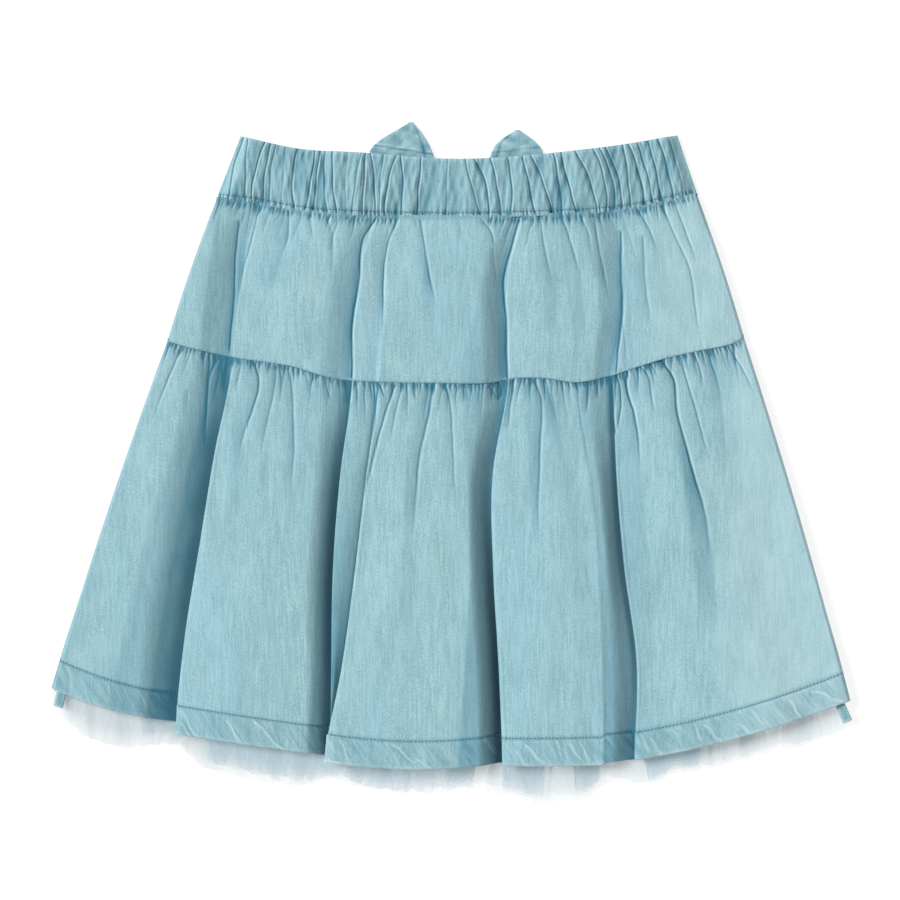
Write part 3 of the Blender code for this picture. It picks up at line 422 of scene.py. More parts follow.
# Slanting ridges of the turned hem: x and distance from the edge at its start and end, strength
HEM_RIDGES = (
    (-227.1, 14.3, -224.7, 8.8, 0.2), (-203.7, 13.7, -201.9, 7.6, 0.3),
    (-183.3, 12.3, -179.1, 4.7, 0.4), (-160.5, 14.1, -149.7, 0.0, 1.0),
    (-159.9, 7.0, -153.9, 0.0, 0.6), (-132.9, 12.4, -123.9, 1.0, 0.9),
    (-116.7, 14.3, -98.1, 0.0, 1.0), (-97.5, 13.1, -91.5, 4.8, 0.3),
    (-65.1, 14.5, -57.9, 1.0, 0.5), (-33.9, 14.6, -19.5, 3.9, 1.0),
    (-19.5, 5.7, -9.3, 0.3, 0.6), (-5.1, 14.7, 0.9, 5.7, 0.2),
    (21.3, 15.9, 29.1, 4.9, 0.5), (40.5, 9.4, 47.1, 0.0, 0.6),
    (45.9, 12.5, 57.9, 1.4, 0.9), (64.5, 14.7, 68.7, 5.1, 0.4),
    (71.1, 13.5, 79.5, 3.9, 0.7), (78.9, 12.9, 84.9, 2.7, 0.6),
    (94.5, 15.1, 101.1, 8.5, 0.5), (114.9, 14.9, 120.9, 3.7, 0.5),
    (120.9, 10.9, 128.1, 0.3, 0.6), (134.1, 14.3, 141.3, 2.4, 0.3),
    (147.3, 14.0, 151.5, 4.1, 0.7), (152.7, 12.6, 164.1, 0.0, 0.9),
    (173.7, 7.4, 182.1, 0.0, 0.6), (180.9, 13.3, 189.3, 3.3, 0.4),
    (204.3, 12.1, 211.5, 0.7, 0.7), (218.1, 12.0, 238.5, 0.2, 1.0),
)
STITCH_PITCH = 2.2
STITCH_LENGTH = 1.5
STITCH_RADIUS = 0.32
STITCH_SIDES = 5
# A stitch's rings: place along its length and size
STITCH_RINGS = ((-0.5, 0.25), (-0.3, 0.8), (0.0, 1.0), (0.3, 0.8), (0.5, 0.25))
BAND_STITCH_FROM_SEAM = 3.1

# The casing's puff, the height over which its top rounds off, and the turn at its top edge
BAND_PUFF = 1.6
BAND_ROLL_HEIGHT = 3.0
BAND_TURN_RADIUS = 0.9
BAND_TURN_ANGLES = (3.0, 2.4, 1.8, 1.2, 0.6)

# Petticoat. Blue shows between these x, its edge this much shorter than the white's.
TULLE_INSET = 10.0
TULLE_INSET_AT_HEM = 5.5
BLUE_SHOWN = ((-185.0, -161.0, 6.0), (-145.5, -86.0, 3.0), (-86.0, -51.0, 1.5), (-51.0, 15.5, 2.0),
              (32.0, 57.5, 2.5), (76.0, 91.0, 3.0), (119.5, 151.0, 2.0))
Layer = namedtuple("Layer", "name colour level shorter seed")
LAYERS = (
    Layer("petticoat_front_blue", "tulle_blue", 0, 2.0, 3),
    Layer("petticoat_front_white", "tulle_white", 1, 2.0, 4),
    Layer("petticoat_back_white", "tulle_white", 2, 0.0, 5),
    Layer("petticoat_back_blue", "tulle_blue", 3, 0.5, 6),
)
PLEATS_REACH = 260.0
PLEAT_SPACING = (6.0, 24.0)
TEETH_SPACING = (5.0, 16.0)
NET_FREE_ROWS = 18
NET_REST_Z = 0.3

# Serged ends of the side seams: where they start under the hem, where they are cut, width
SEAM_END_Z = TULLE_Z + 4 * TULLE_STEP + 0.2
OVERLOCK_TURNS = 9
OVERLOCK_RADIUS = 0.26
SEAM_ENDS = (
    ("side_seam_end_left", (-230.4, -131.0), (-234.4, -146.4), 5.0),
    ("side_seam_end_right", (231.4, -137.0), (239.6, -155.4), 5.0),
)

# The photograph's frame: 900 pixels of 0.6 mm, centred on this point
FRAME_WIDTH = 0.54
FRAME_CENTRE = (0.0009, 0.0078)
CAMERA_HEIGHT = 2.4
CAMERA_PLANE = 0.008
SENSOR = 36.0
KEY_FROM = (-1.3, 0.55, 1.55)
KEY_STRENGTH = 3.0
KEY_ANGLE = 0.42
SKY_STRENGTH = 0.42

# Marks that a sheet's points may carry: paler with wear, painted highlights and painted light;
# darker with painted shade and the cloth's own tone; darkest with painted shade; and how much of
# the net is there
MARKS = ("worn", "sunk", "core", "fade")

# The washed cloth's colours: pale for wear, painted highlights and painted light; three tones of the
# cloth itself; a deep blue for painted shade in folds and creases and for the cloth's own darker
# tone; and near black for the painted shade in a fold's darkest core
CLOTH_PALE = (0.52, 0.70, 0.74, 1.0)
CLOTH_LIGHT = (0.378, 0.582, 0.625, 1.0)
CLOTH_BLUE = (0.335, 0.562, 0.635, 1.0)
CLOTH_DARK = (0.228, 0.412, 0.462, 1.0)
CLOTH_DEEP = (0.038, 0.185, 0.262, 1.0)
CLOTH_CORE = (0.006, 0.040, 0.066, 1.0)

# Noise in the materials, stretched along the cloth's length by a small middle value
Noise = namedtuple("Noise", "stretch scale detail rough")
CLOTH_NOISES = {
    "slubs": Noise((1.0, 0.06, 0.6), 1100.0, 3.0, 0.55),
    "streaks": Noise((1.0, 0.10, 0.5), 320.0, 3.0, 0.55),
    "weave": Noise((1.0, 0.7, 1.0), 1700.0, 2.0, 0.7),
    "mottle": Noise((1.0, 0.6, 1.0), 75.0, 4.0, 0.55),
    "wash": Noise((1.0, 0.5, 1.0), 14.0, 3.0, 0.55),
    "patches": Noise((1.0, 0.35, 1.0), 30.0, 3.0, 0.55),
}
DYE_SHARES = {"slubs": 2.0, "streaks": 0.8, "weave": 3.3, "mottle": 0.8, "wash": 0.5}
DYE_LEVEL = -3.2
THREAD_BLUE = (0.075, 0.20, 0.26)
THREAD_PALE = (0.55, 0.68, 0.76)
# The nets' colours and how much they cover
NETS = {"tulle_white": ((0.46, 0.525, 0.55), 0.68), "tulle_blue": ((0.385, 0.51, 0.57), 0.70)}
NET_BANDS = Noise((1.0, 0.12, 1.0), 110.0, 3.0, 0.5)
NET_SCALE = 1400.0
# The nets glow faintly: painted light that lifts the shade on them
NET_GLOW = 0.22


def smooth(t):
    """A soft step: 0 below 0, 1 above 1, with a gentle rise between."""
    t = np.clip(t, 0.0, 1.0)
    return t * t * (3.0 - 2.0 * t)


def mix(a, b, t):
    return a + (b - a) * t


def kept(value, most=1.0):
    """The value, held between 0 and most."""
    return np.clip(value, 0.0, most)


def bell(away, half):
    """A soft bump: 1 where away is 0 and about a third at half from there."""
    return np.exp(-(away / half) ** 2)


def over(under, shade):
    """One shade laid over another."""
    return 1.0 - (1.0 - under) * (1.0 - shade)


def sagging(start, end, sag, t):
    """A line from start to end that sags in its middle."""
    return mix(start, end, t) - sag * 4.0 * t * (1.0 - t)


def cubic(a, b, slope_a, slope_b, f):
    """A curve from a to b with a slope at each end, at the share f of the way."""
    return (a * (2 * f ** 3 - 3 * f ** 2 + 1) + slope_a * (f ** 3 - 2 * f ** 2 + f)
            + b * (3 * f ** 2 - 2 * f ** 3) + slope_b * (f ** 3 - f ** 2))


def at_even_steps(values, t):
    """A smooth curve through values that stand at even steps from t = 0 to t = 1."""
    last = len(values) - 1
    place = kept(t) * last
    i = min(int(place), last - 1)
    slope_a = (values[i + 1] - values[max(i - 1, 0)]) / 2.0
    slope_b = (values[min(i + 2, last)] - values[i]) / 2.0
    return cubic(values[i], values[i + 1], slope_a, slope_b, place - i)


def edge_y(edge, x):
    """The y of an edge table at each x, on a smooth curve that goes on straight past the ends."""
    xs = np.array([row[0] for row in edge])
    ys = np.array([row[1] for row in edge])
    x = np.asarray(x, float)
    slopes = np.diff(ys) / np.diff(xs)
    tangents = np.concatenate([[slopes[0]], (slopes[1:] + slopes[:-1]) / 2.0, [slopes[-1]]])
    i = np.clip(np.searchsorted(xs, x, side="right") - 1, 0, len(xs) - 2)
    width = xs[i + 1] - xs[i]
    y = cubic(ys[i], ys[i + 1], tangents[i] * width, tangents[i + 1] * width,
              kept((x - xs[i]) / width))
    y = np.where(x < xs[0], ys[0] + slopes[0] * (x - xs[0]), y)
    return np.where(x > xs[-1], ys[-1] + slopes[-1] * (x - xs[-1]), y)


def path_x(path, y):
    """The x of a path at each y, going on straight past its ends."""
    return edge_y(sorted((row[1], row[0]) for row in path), y)


def bow_lift(x):
    return BOW_LIFT * smooth((BOW_SPREAD - np.abs(x - BOW_CENTRE_X)) / (BOW_SPREAD - BOW_FLAT))


def held_up(v):
    """Share of the bow's lift at v down the upper tier."""
    return np.maximum(0.0, 1.0 - v / BOW_REACH)


def side_x(tier, side, v):
    outline = SIDES[tier]
    start, end = outline.left if side < 0 else outline.right
    return sagging(start, end, -side * outline.bow, v)


def fold_state(fold, tier, v):
    """A fold's x, foot, rise, overlap and how far it turns over, at v down a tier."""
    share = at_even_steps(RISE[tier], v)
    roll = min(at_even_steps(ROLL[tier], v), 1.0) * fold.roll
    overlap = fold.overlap * (mix(LOWER_OVERLAP_AT_SEAM, 1.0, v) if tier == "lower" else UPPER_OVERLAP)
    x = at_even_steps(getattr(fold, tier), v)
    return x, BACK_Z + fold.base * share, fold.rise * share, overlap, roll


def fold_points(fold, tier, v):
    """x and z across a fold: two round turns with a flat run between them, or a soft step."""
    x, foot, rise, overlap, roll = fold_state(fold, tier, v)
    turn = rise / 4.0
    t = np.linspace(0.0, 1.0, FOLD_STEPS + 1)
    first, between, last = (kept(t * 3.0 - stretch) for stretch in range(3))
    a = math.pi * (first - 0.5)
    b = math.pi * (last - 0.5)
    dx = overlap - turn + turn * np.cos(a)
    dz = turn + turn * np.sin(a)
    dx = np.where(t > 1.0 / 3.0, mix(overlap - turn, turn, between), dx)
    dx = np.where(t > 2.0 / 3.0, turn - turn * np.cos(b), dx)
    dz = np.where(t > 2.0 / 3.0, 3.0 * turn + turn * np.sin(b), dz)
    open_dx = STEP_HALF_WIDTH * (2.0 * t - 1.0)
    open_dz = rise * smooth(t)
    xs = x + fold.over * mix(open_dx, dx, roll)
    zs = foot + mix(open_dz, dz, roll)
    if fold.over < 0:
        return xs[::-1], zs[::-1]
    return xs, zs


def fold_shade(k, tier, v, x):
    """Shade and dark core on panel k, which both grow towards the fold at its right."""
    shade = SHADES.get(FOLDS[k].name) if k < len(FOLDS) else None
    if shade is None:
        return 0.0 * x, 0.0 * x
    away = np.maximum(fold_state(FOLDS[k], tier, v)[0] - x, 0.0)
    if tier == "upper":
        depth = shade.upper_depth * smooth(v * 2.5) * mix(1.0, 0.8, v)
        return depth * kept(1.0 - away / shade.upper_width) ** SHADE_FALL, 0.0 * x
    width = mix(0.6, 1.0, smooth(v * 3.0)) * shade.width
    core = at_even_steps(shade.core, v) * np.exp(-(away / shade.core_width) ** 3)
    return shade.depth * kept(1.0 - away / width) ** SHADE_FALL, core


def panel_stretch(k, tier, v, start, end, edge_x):
    """Panel k across the tier, from its left end to the turn of the fold at its right."""
    panel = PANELS[k]
    fall = FOLDS[k].fall if k < len(FOLDS) else FREE_FALL
    p = np.linspace(0.0, 1.0, panel.columns + 1)
    x = mix(start[0], end[0], p)
    width = max(edge_x - start[0], 0.1)
    down = smooth((edge_x - 0.4 - x) / min(fall, 0.8 * width))
    crown = panel.crown * at_even_steps(RISE[tier], v) * np.sin(math.pi * kept((x - start[0]) / width))
    z = np.maximum(mix(end[1], start[1], down) + crown * down, min(BACK_Z, start[1], end[1]))
    hem = sagging(panel.hem_left, panel.hem_right, panel.sag, p)
    from_left = p * panel.columns if k == 0 or FOLDS[k - 1].over > 0 else FACE_EDGE
    from_right = (1.0 - p) * panel.columns if k == len(FOLDS) or FOLDS[k].over > 0 else FACE_EDGE
    face = smooth(np.minimum(from_left, from_right) / FACE_EDGE) + 0.0 * p
    shade, core = fold_shade(k, tier, v, x)
    return x, z, hem, face, shade, core, np.full_like(x, k)


def section(tier, v):
    """x, z, the hem's y, the share of a panel's face, a fold's shade and core, and the panel."""
    share = at_even_steps(RISE[tier], v)
    left = side_x(tier, -1, v)
    right = side_x(tier, 1, v)
    steps = np.linspace(0.0, 1.0, FOLD_STEPS + 1)[1:-1]
    start = (left, BACK_Z + LEFT_PANEL_RISE * share)
    stretches = []
    for k, fold in enumerate(FOLDS):
        xs, zs = fold_points(fold, tier, v)
        turned = fold.over > 0
        edge_x = min(fold_state(fold, tier, v)[0], xs[0]) if turned else xs[0]
        stretches.append(panel_stretch(k, tier, v, start, (xs[0], zs[0]), edge_x))
        shade, core = (row[-1] for row in stretches[-1][4:6])
        under = 1.0 - smooth(steps * 3.0 - 1.6) if turned else 0.0 * steps
        hem = mix(PANELS[k].hem_right, PANELS[k + 1].hem_left, steps)
        stretches.append((xs[1:-1], zs[1:-1], hem, 0.0 * steps + (not turned), under * shade,
                          under * core, np.where(steps < 0.55, k, k + 1.0)))
        start = (xs[-1], zs[-1])
    end = (right, BACK_Z + RIGHT_PANEL_RISE * share)
    stretches.append(panel_stretch(len(FOLDS), tier, v, start, end, right))
    x, z, *marks = (np.concatenate(rows) for rows in zip(*stretches))
    to_side = smooth(np.minimum(x - left, right - x) / SIDE_ROLL)
    lift = HEM_SIDE_LIFT * smooth((v - 0.7) / 0.2) if tier == "lower" else 0.0
    return x, mix(SIDE_Z + lift, z, to_side), *marks


def seam_gathers(kind, seam, flat=None):
    """Uneven gathers that run down from a seam: x, lean, reach, depth, sway."""
    rng = random.Random(kind.seed)
    gathers = []
    x = seam[0][0] + kind.pitch / 2.0
    while x < seam[-1][0]:
        strength = rng.random()
        reach = mix(kind.short, kind.long, strength * rng.random() + 0.3 * strength)
        depth = mix(kind.shallow, kind.deep, rng.random())
        if flat and flat[0] < x < flat[1]:
            depth *= FLAT_SHARE
        gathers.append((x, rng.uniform(-0.12, 0.12), reach, depth, rng.uniform(-0.9, 0.9)))
        x += kind.pitch * rng.uniform(0.6, 1.4)
    return gathers


def leaning(away, left, right):
    """A small fold's section: the cloth sinks slowly from the left and comes back steeply."""
    return np.where(away < 0.0, np.exp(-np.abs(away / left) ** 1.3), bell(away, right))


def gathered(kind, seam, x, t, flat=None):
    """Depth, dark line of painted shade and pale edge of a seam's gathers, at x along it and t from it.
    """
    x = np.broadcast_to(x, t.shape)
    depth = np.zeros_like(x)
    line = np.zeros_like(x)
    edge = np.zeros_like(x)
    for x0, lean, reach, deep, sway in seam_gathers(kind, seam, flat):
        fade = (1.0 - smooth(t / reach)) * (0.5 + 0.5 * smooth(t / GATHER_FULL))
        if not fade.any():
            continue
        away = x - x0 - lean * t - sway * np.sin(t * 0.5) * np.exp(-t / GATHER_SWAYS)
        left = GATHER_LEFT[0] + GATHER_LEFT[1] * t
        right = GATHER_RIGHT[0] + GATHER_RIGHT[1] * t
        depth = np.maximum(depth, deep * fade * leaning(away, left, right))
        # The pale edge is part wear and part painted highlight
        line += fade * min(deep, 1.0) * bell(away, LINE_HALF)
        edge += fade * min(deep, 1.0) * bell(away - EDGE_BESIDE, LINE_HALF)
    return depth, np.minimum(line, 1.0), np.minimum(edge, 1.0)


def stroked(strokes, x, y):
    """Depth, painted shade, painted highlight and darkest painted line of the creases placed one by
    one.
    """
    depth = np.zeros_like(x)
    dark = np.zeros_like(x)
    core = np.zeros_like(x)
    pale = np.zeros_like(x)
    edge_place, edge_half, edge_strength = STROKE_EDGE
    for k, stroke in enumerate(strokes):
        top = stroke.path[0][1]
        end = stroke.path[-1][1]
        fade = smooth((y - end) / (stroke.ease * (top - end))) * smooth((top - y) / 2.0 + 0.5)
        sway = 0.3 * np.sin(0.14 * y + 2.4 * k) + 0.07 * np.sin(0.45 * y + 1.3 * k)
        away = x - path_x(stroke.path, y) - sway
        half = STROKE_HALF + STROKE_HALF_GROWTH * stroke.width
        profile = fade * leaning(away, stroke.width, 0.8 * half)
        line = fade * bell(away, half)
        depth += STROKE_DEPTH * (stroke.line + stroke.shade) * profile
        dark = over(over(dark, stroke.shade * profile), stroke.line * line)
        pale += edge_strength * stroke.line * fade * bell(away - half - edge_place, edge_half)
        core = np.maximum(core, stroke.line ** 2 * fade * bell(away, 0.8 * half))
    return depth, dark, np.minimum(pale, 1.0), core


def toned(tones, x, y, panel):
    """Shade of the cloth's broad, soft undulations."""
    dark = np.zeros_like(x)
    for tone in tones:
        down = (tone.span[0] - y) / (tone.span[0] - tone.span[1])
        shade = np.interp(down, np.linspace(0.0, 1.0, len(tone.shades)), tone.shades)
        shade = shade * ((panel >= tone.panels[0]) & (panel <= tone.panels[1]))
        if tone.left:
            shade = shade * smooth((x - path_x(tone.left, y)) / tone.soft[0] + 0.5)
        if tone.right:
            shade = shade * smooth((path_x(tone.right, y) - x) / tone.soft[1] + 0.5)
        dark = over(dark, shade)
    return dark


def wrinkle(x, y, seed, scale_x, scale_y, waves=9):
    """A soft, irregular height from -1 to 1, longer along y than along x."""
    rng = random.Random(seed)
    total = np.zeros(np.broadcast(x, y).shape)
    for _ in range(waves):
        kx = rng.uniform(-1.0, 1.0) * math.tau / scale_x
        ky = rng.uniform(-1.0, 1.0) * math.tau / scale_y
        total += np.sin(kx * x + ky * y + rng.uniform(0.0, math.tau))
    return total / math.sqrt(waves)


def link_mesh(name, points, faces, material):
    mesh = bpy.data.meshes.new(name)
    mesh.from_pydata(points, [], faces)
    mesh.shade_smooth()
    mesh.materials.append(material)
    made = bpy.data.objects.new(name, mesh)
    bpy.context.scene.collection.objects.link(made)
    return made


def add_sheet(name, grid, material, closed=False):
    """A sheet through a grid of points in millimetres, with the grid's marks for its material."""
    x, y, z = np.broadcast_arrays(grid["x"], grid["y"], grid["z"])
    rows, columns = x.shape
    points = np.stack([x, y, z], axis=-1).reshape(-1, 3) * MM
    a = (np.arange(rows - 1)[:, None] * columns + np.arange(columns - 1)[None, :]).reshape(-1)
    faces = np.stack([a, a + columns, a + columns + 1, a + 1], axis=1)
    if closed:
        b = np.arange(rows - 1) * columns
        joint = np.stack([b + columns - 1, b + 2 * columns - 1, b + columns, b], axis=1)
        faces = np.concatenate([faces, joint])
    made = link_mesh(name, points.tolist(), faces.tolist(), material)
    for mark in MARKS:
        if mark in grid:
            layer = made.data.attributes.new(mark, "FLOAT", "POINT")
            values = np.broadcast_to(grid[mark], x.shape)
            layer.data.foreach_set("value", np.ascontiguousarray(values, np.float32).reshape(-1))
    return made


def place_piece(made, node):
    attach(made, BODY)
    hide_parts(node)
    return made


def row_places(rows):
    """Shares down a tier: close rows over its first and last stretches, wider between."""
    low = 1.0 - rows.fine_bottom
    return np.concatenate([np.linspace(0.0, rows.fine_top, rows.top, endpoint=False),
                           np.linspace(rows.fine_top, low, rows.middle, endpoint=False),
                           np.linspace(low, 1.0, rows.bottom)])


def tier_grid(tier, places):
    """A tier's back: x, y, z, the seam's x, the distances t and d from its top and lower edges, the
    share of a panel's face, a fold's shade and core, and the panel."""
    tops = section(tier, 0.0)[0]
    ends = section(tier, 1.0)[0]
    rows = []
    for v in places:
        x, z, hem, face, shade, core, panel = section(tier, v)
        if tier == "upper":
            y_top = edge_y(WAIST_SEAM, tops) - SEAM_GAP / 2
            y_end = edge_y(TIER_SEAM, ends) + TIER_SEAM_GAP / 2
            z = z + bow_lift(x) * held_up(v)
        else:
            y_top = edge_y(TIER_SEAM, tops) - TIER_SEAM_GAP / 2
            y_end = hem
        y = mix(y_top, y_end, v)
        rows.append({"x": x, "y": y, "z": z, "top": tops, "t": y_top - y, "d": y - y_end,
                     "face": face, "shade": shade, "core": core, "panel": panel})
    return {key: np.array([row[key] for row in rows]) for key in rows[0]}


def wrapped(grid, reach, drop):
    """Rows that turn a lower edge under and run back up beneath it."""
    lean = (grid["x"][-2] - grid["x"][-1]) / (grid["y"][-2] - grid["y"][-1])
    extra = []
    for back, down in ((-0.25, 0.35), (0.0, 0.75), (0.8, drop), (reach, drop + 0.2)):
        row = {key: values[-1:] for key, values in grid.items()}
        row["x"] = row["x"] + back * lean
        row["y"] = row["y"] + back
        row["z"] = row["z"] - down
        extra.append(row)
    return {key: np.concatenate([grid[key]] + [row[key] for row in extra]) for key in grid}


def tucked(grid, up, down):
    """A row that carries an upper edge on beneath the piece above it."""
    first = {key: values[:1] for key, values in grid.items()}
    first["y"] = first["y"] + up
    first["z"] = first["z"] - down
    return {key: np.concatenate([first[key], values]) for key, values in grid.items()}


def side_closed(grid, floor_z):
    """Columns that bring the cloth's sides down to the front's edge."""
    out = {}
    for key, values in grid.items():
        first = values[:, :1]
        last = values[:, -1:]
        sides = [first, first, last, last]
        if key == "x":
            sides = [first + 0.3, first - 0.15, last + 0.15, last - 0.3]
        if key == "z":
            sides = [mix(side, floor_z, share) for side, share in zip(sides, (1.0, 0.5, 0.5, 1.0))]
        out[key] = np.concatenate([*sides[:2], values, *sides[2:]], axis=1)
    return out


def line_at(grid, key, value):
    """The sheet's surface points where a grid's key has this value, one for each column."""
    points = []
    for c in range(grid["x"].shape[1]):
        values = grid[key][:, c]
        order = np.argsort(values)
        points.append([np.interp(value, values[order], grid[axis][:, c][order]) for axis in "xyz"])
    return points


def new_material(name, inputs):
    """A material whose shader has these inputs, and the shader."""
    made = bpy.data.materials.new(name)
    made.use_nodes = True
    shader = made.node_tree.nodes["Principled BSDF"]
    for key, value in inputs.items():
        shader.inputs[key].default_value = value
    return made, shader


def add_node(tree, kind, inputs, **settings):
    """A node with its inputs set, or linked where another node's output is given."""
    node = tree.nodes.new(kind)
    for key, value in settings.items():
        setattr(node, key, value)
    for key, value in inputs.items():
        if isinstance(value, bpy.types.NodeSocket):
            tree.links.new(value, node.inputs[key])
        else:
            node.inputs[key].default_value = value
    return node


def noise(tree, place, kind):
    mapping = add_node(tree, "ShaderNodeMapping", {"Vector": place, "Scale": kind.stretch})
    inputs = {"Vector": mapping.outputs["Vector"], "Scale": kind.scale, "Detail": kind.detail,
              "Roughness": kind.rough}
    return add_node(tree, "ShaderNodeTexNoise", inputs).outputs["Fac"]


def maths(tree, operation, a, b):
    return add_node(tree, "ShaderNodeMath", {0: a, 1: b}, operation=operation).outputs[0]


def scaled(tree, value, times, plus):
    return maths(tree, "ADD", plus, maths(tree, "MULTIPLY", value, times))


def blend(tree, share, a, b):
    return add_node(tree, "ShaderNodeMix", {0: share, 6: a, 7: b}, data_type="RGBA").outputs[2]


def mark(tree, name):
    return add_node(tree, "ShaderNodeAttribute", {}, attribute_name=name).outputs["Fac"]


def map_range(tree, value, start, end):
    inputs = {"Value": value, "From Min": start[0], "From Max": start[1], "To Min": end[0],
              "To Max": end[1]}
    return add_node(tree, "ShaderNodeMapRange", inputs).outputs["Result"]


def chambray(name):
    """Washed chambray: a fine weave with slubs along the length, paler with wear and painted
    highlights, darker with painted shade in folds.
    """
    made, shader = new_material(name, {"Specular IOR Level": 0.22, "Sheen Weight": 0.18,
                                       "Sheen Roughness": 0.55})
    tree = made.node_tree
    place = tree.nodes.new("ShaderNodeTexCoord").outputs["Object"]
    noises = {key: noise(tree, place, kind) for key, kind in CLOTH_NOISES.items()}
    dye = DYE_LEVEL
    for key, strength in DYE_SHARES.items():
        dye = maths(tree, "ADD", maths(tree, "MULTIPLY", noises[key], strength), dye)
    hue = maths(tree, "SUBTRACT", maths(tree, "MULTIPLY", noises["patches"], 5.0), 2.1)
    colour = blend(tree, dye, CLOTH_DARK, blend(tree, hue, CLOTH_LIGHT, CLOTH_BLUE))
    # Paler with wear, painted highlights and painted light; darker with painted shade and own tone;
    # darkest with painted shade
    worn = maths(tree, "MULTIPLY", mark(tree, "worn"), scaled(tree, noises["mottle"], 1.0, 0.35))
    sunk = maths(tree, "MULTIPLY", mark(tree, "sunk"), scaled(tree, noises["mottle"], 0.6, 0.6))
    colour = blend(tree, worn, colour, CLOTH_PALE)
    colour = blend(tree, sunk, colour, CLOTH_DEEP)
    colour = blend(tree, mark(tree, "core"), colour, CLOTH_CORE)
    tree.links.new(colour, shader.inputs["Base Color"])
    height = maths(tree, "ADD", maths(tree, "MULTIPLY", noises["slubs"], 0.6),
                   maths(tree, "MULTIPLY", noises["weave"], 0.7))
    bump = add_node(tree, "ShaderNodeBump", {"Strength": 0.35, "Distance": 0.0004, "Height": height})
    tree.links.new(bump.outputs["Normal"], shader.inputs["Normal"])
    tree.links.new(scaled(tree, noises["weave"], 0.16, 0.78), shader.inputs["Roughness"])
    return made


def tulle(name, colour, cover):
    """Soft net: see-through, thicker where it doubles, fading towards its raw edge, with a faint
    painted glow.
    """
    paint = (*colour, 1.0)
    made, shader = new_material(name, {"Base Color": paint, "Roughness": 0.7,
                                       "Specular IOR Level": 0.2, "Emission Color": paint,
                                       "Emission Strength": NET_GLOW})
    tree = made.node_tree
    place = tree.nodes.new("ShaderNodeTexCoord").outputs["Object"]
    net = add_node(tree, "ShaderNodeTexVoronoi", {"Vector": place, "Scale": NET_SCALE})
    doubled = map_range(tree, noise(tree, place, NET_BANDS), (0.35, 0.7),
                        (cover * 0.8, min(1.0, cover * 1.2)))
    holes = map_range(tree, net.outputs["Distance"], (0.0, 0.8), (1.12, 0.85))
    share = maths(tree, "MULTIPLY", doubled, holes)
    share = maths(tree, "MULTIPLY", share, mark(tree, "fade"))
    tree.links.new(share, shader.inputs["Alpha"])
    return made


def plain(name, colour):
    made, _ = new_material(name, {"Base Color": (*colour, 1.0), "Roughness": 0.85,
                                  "Specular IOR Level": 0.2})
    return made


def dressed_tier(tier, flat=None):
    """A tier's grid with the relief and the marks that both tiers have."""
    look = LOOKS[tier]
    grid = tier_grid(tier, row_places(TIER_ROWS[tier]))
    x = grid["x"]
    y = grid["y"]
    t = grid["t"]
    depth, line, edge = gathered(look.gathers, TOP_SEAM[tier], grid["top"], t, flat)
    fine, fine_line, fine_edge = gathered(look.puckers, TOP_SEAM[tier], grid["top"], t, flat)
    folds, fold_line, fold_edge, core = stroked(look.strokes, x, y)
    tone = toned(look.tones, x, y, grid["panel"])
    tuck = bell(t, look.tuck_half)
    swell = look.swell * wrinkle(x, y, look.seed, *look.swell_size) * smooth(t / look.swell_start)
    face = grid["face"] if tier == "lower" else 1.0
    grid["z"] = (grid["z"] - depth - fine + (swell - folds) * face - look.tuck_depth * tuck
                 + look.raised)
    # Painted light makes the cloth paler towards the right. The pale edges of gathers are part wear and
    # part painted highlight, those of creases painted highlight
    faded = look.faded * smooth((x - look.faded_from) / look.faded_over)
    near_seam = np.exp(-t / NEAR_SEAM)
    grid["worn"] = (faded + (0.08 + look.edge * near_seam) * edge + look.fine_edge * fine_edge
                    + fold_edge)
    # Painted shade: on the left side that faces the lamp, along the lines of gathers and creases, where
    # gathers sink, at the tuck, beside folds and in the tones
    lit_side = LIT_SIDE_SHADE * np.exp(-(x - x[:, :1]) / LIT_SIDE_WIDTH)
    grid["sunk"] = (lit_side + look.line * line + look.fine_line * fine_line + fold_line
                    + look.creased * kept(depth) + 0.3 * kept(fine) + look.tuck_dark * tuck
                    + over(grid["shade"], tone))
    # Painted shade in the darkest cores of creases and folds, and along the lower tier's seam
    dark_line = np.maximum(look.core * core, look.seam_core * bell(t - 0.5, 0.45))
    grid["core"] = np.maximum(grid["core"], dark_line + 0.22 * fine_line)
    return grid


def hem_relief(x, d):
    """Height and pale ridges of the turned hem: a stitched groove, a puffed band, slanting ridges."""
    rng = random.Random(HEM_SEED)
    band = smooth((HEM_DEPTH - d) / 2.0) * smooth(d / 1.5 + 0.3)
    height = 0.45 * band - 0.7 * bell(d - HEM_DEPTH, 0.9)
    pale = np.zeros_like(x)
    for x_start, d_start, x_end, d_end, strength in HEM_RIDGES:
        run = math.hypot(x_end - x_start, d_end - d_start)
        ux = (x_end - x_start) / run
        ud = (d_end - d_start) / run
        along = (x - x_start) * ux + (d - d_start) * ud
        bend = 0.04 * run * np.sin(math.tau * kept(along / run))
        across = (x - x_start) * ud - (d - d_start) * ux + bend
        ends = smooth(along / 2.0 + 0.5) * smooth((run - along) / 2.5 + 0.5)
        ridge = bell(across, 0.5) * ends * strength
        height += 0.8 * ridge - 0.5 * bell(across - 1.3, 0.8) * ends * strength
        pale += ridge
    for _ in range(HEM_PUCKERS):
        x0 = rng.uniform(HEM_CORNERS[0], HEM_CORNERS[1])
        lean = rng.uniform(0.15, 0.75) + 0.35 * smooth((x0 - 90.0) / 60.0)
        half = rng.uniform(0.8, 2.2)
        deep = rng.uniform(0.05, 0.24)
        away = (x - x0 - lean * (HEM_DEPTH - d)) / half
        fade = smooth((HEM_DEPTH + 1.0 - d) / 3.0) * smooth((d + 1.0) / 6.0)
        height += deep * fade * (bell(away, 1.0) - 0.8 * bell(away + 1.6, 1.0))
    return height, np.minimum(pale, 1.0)


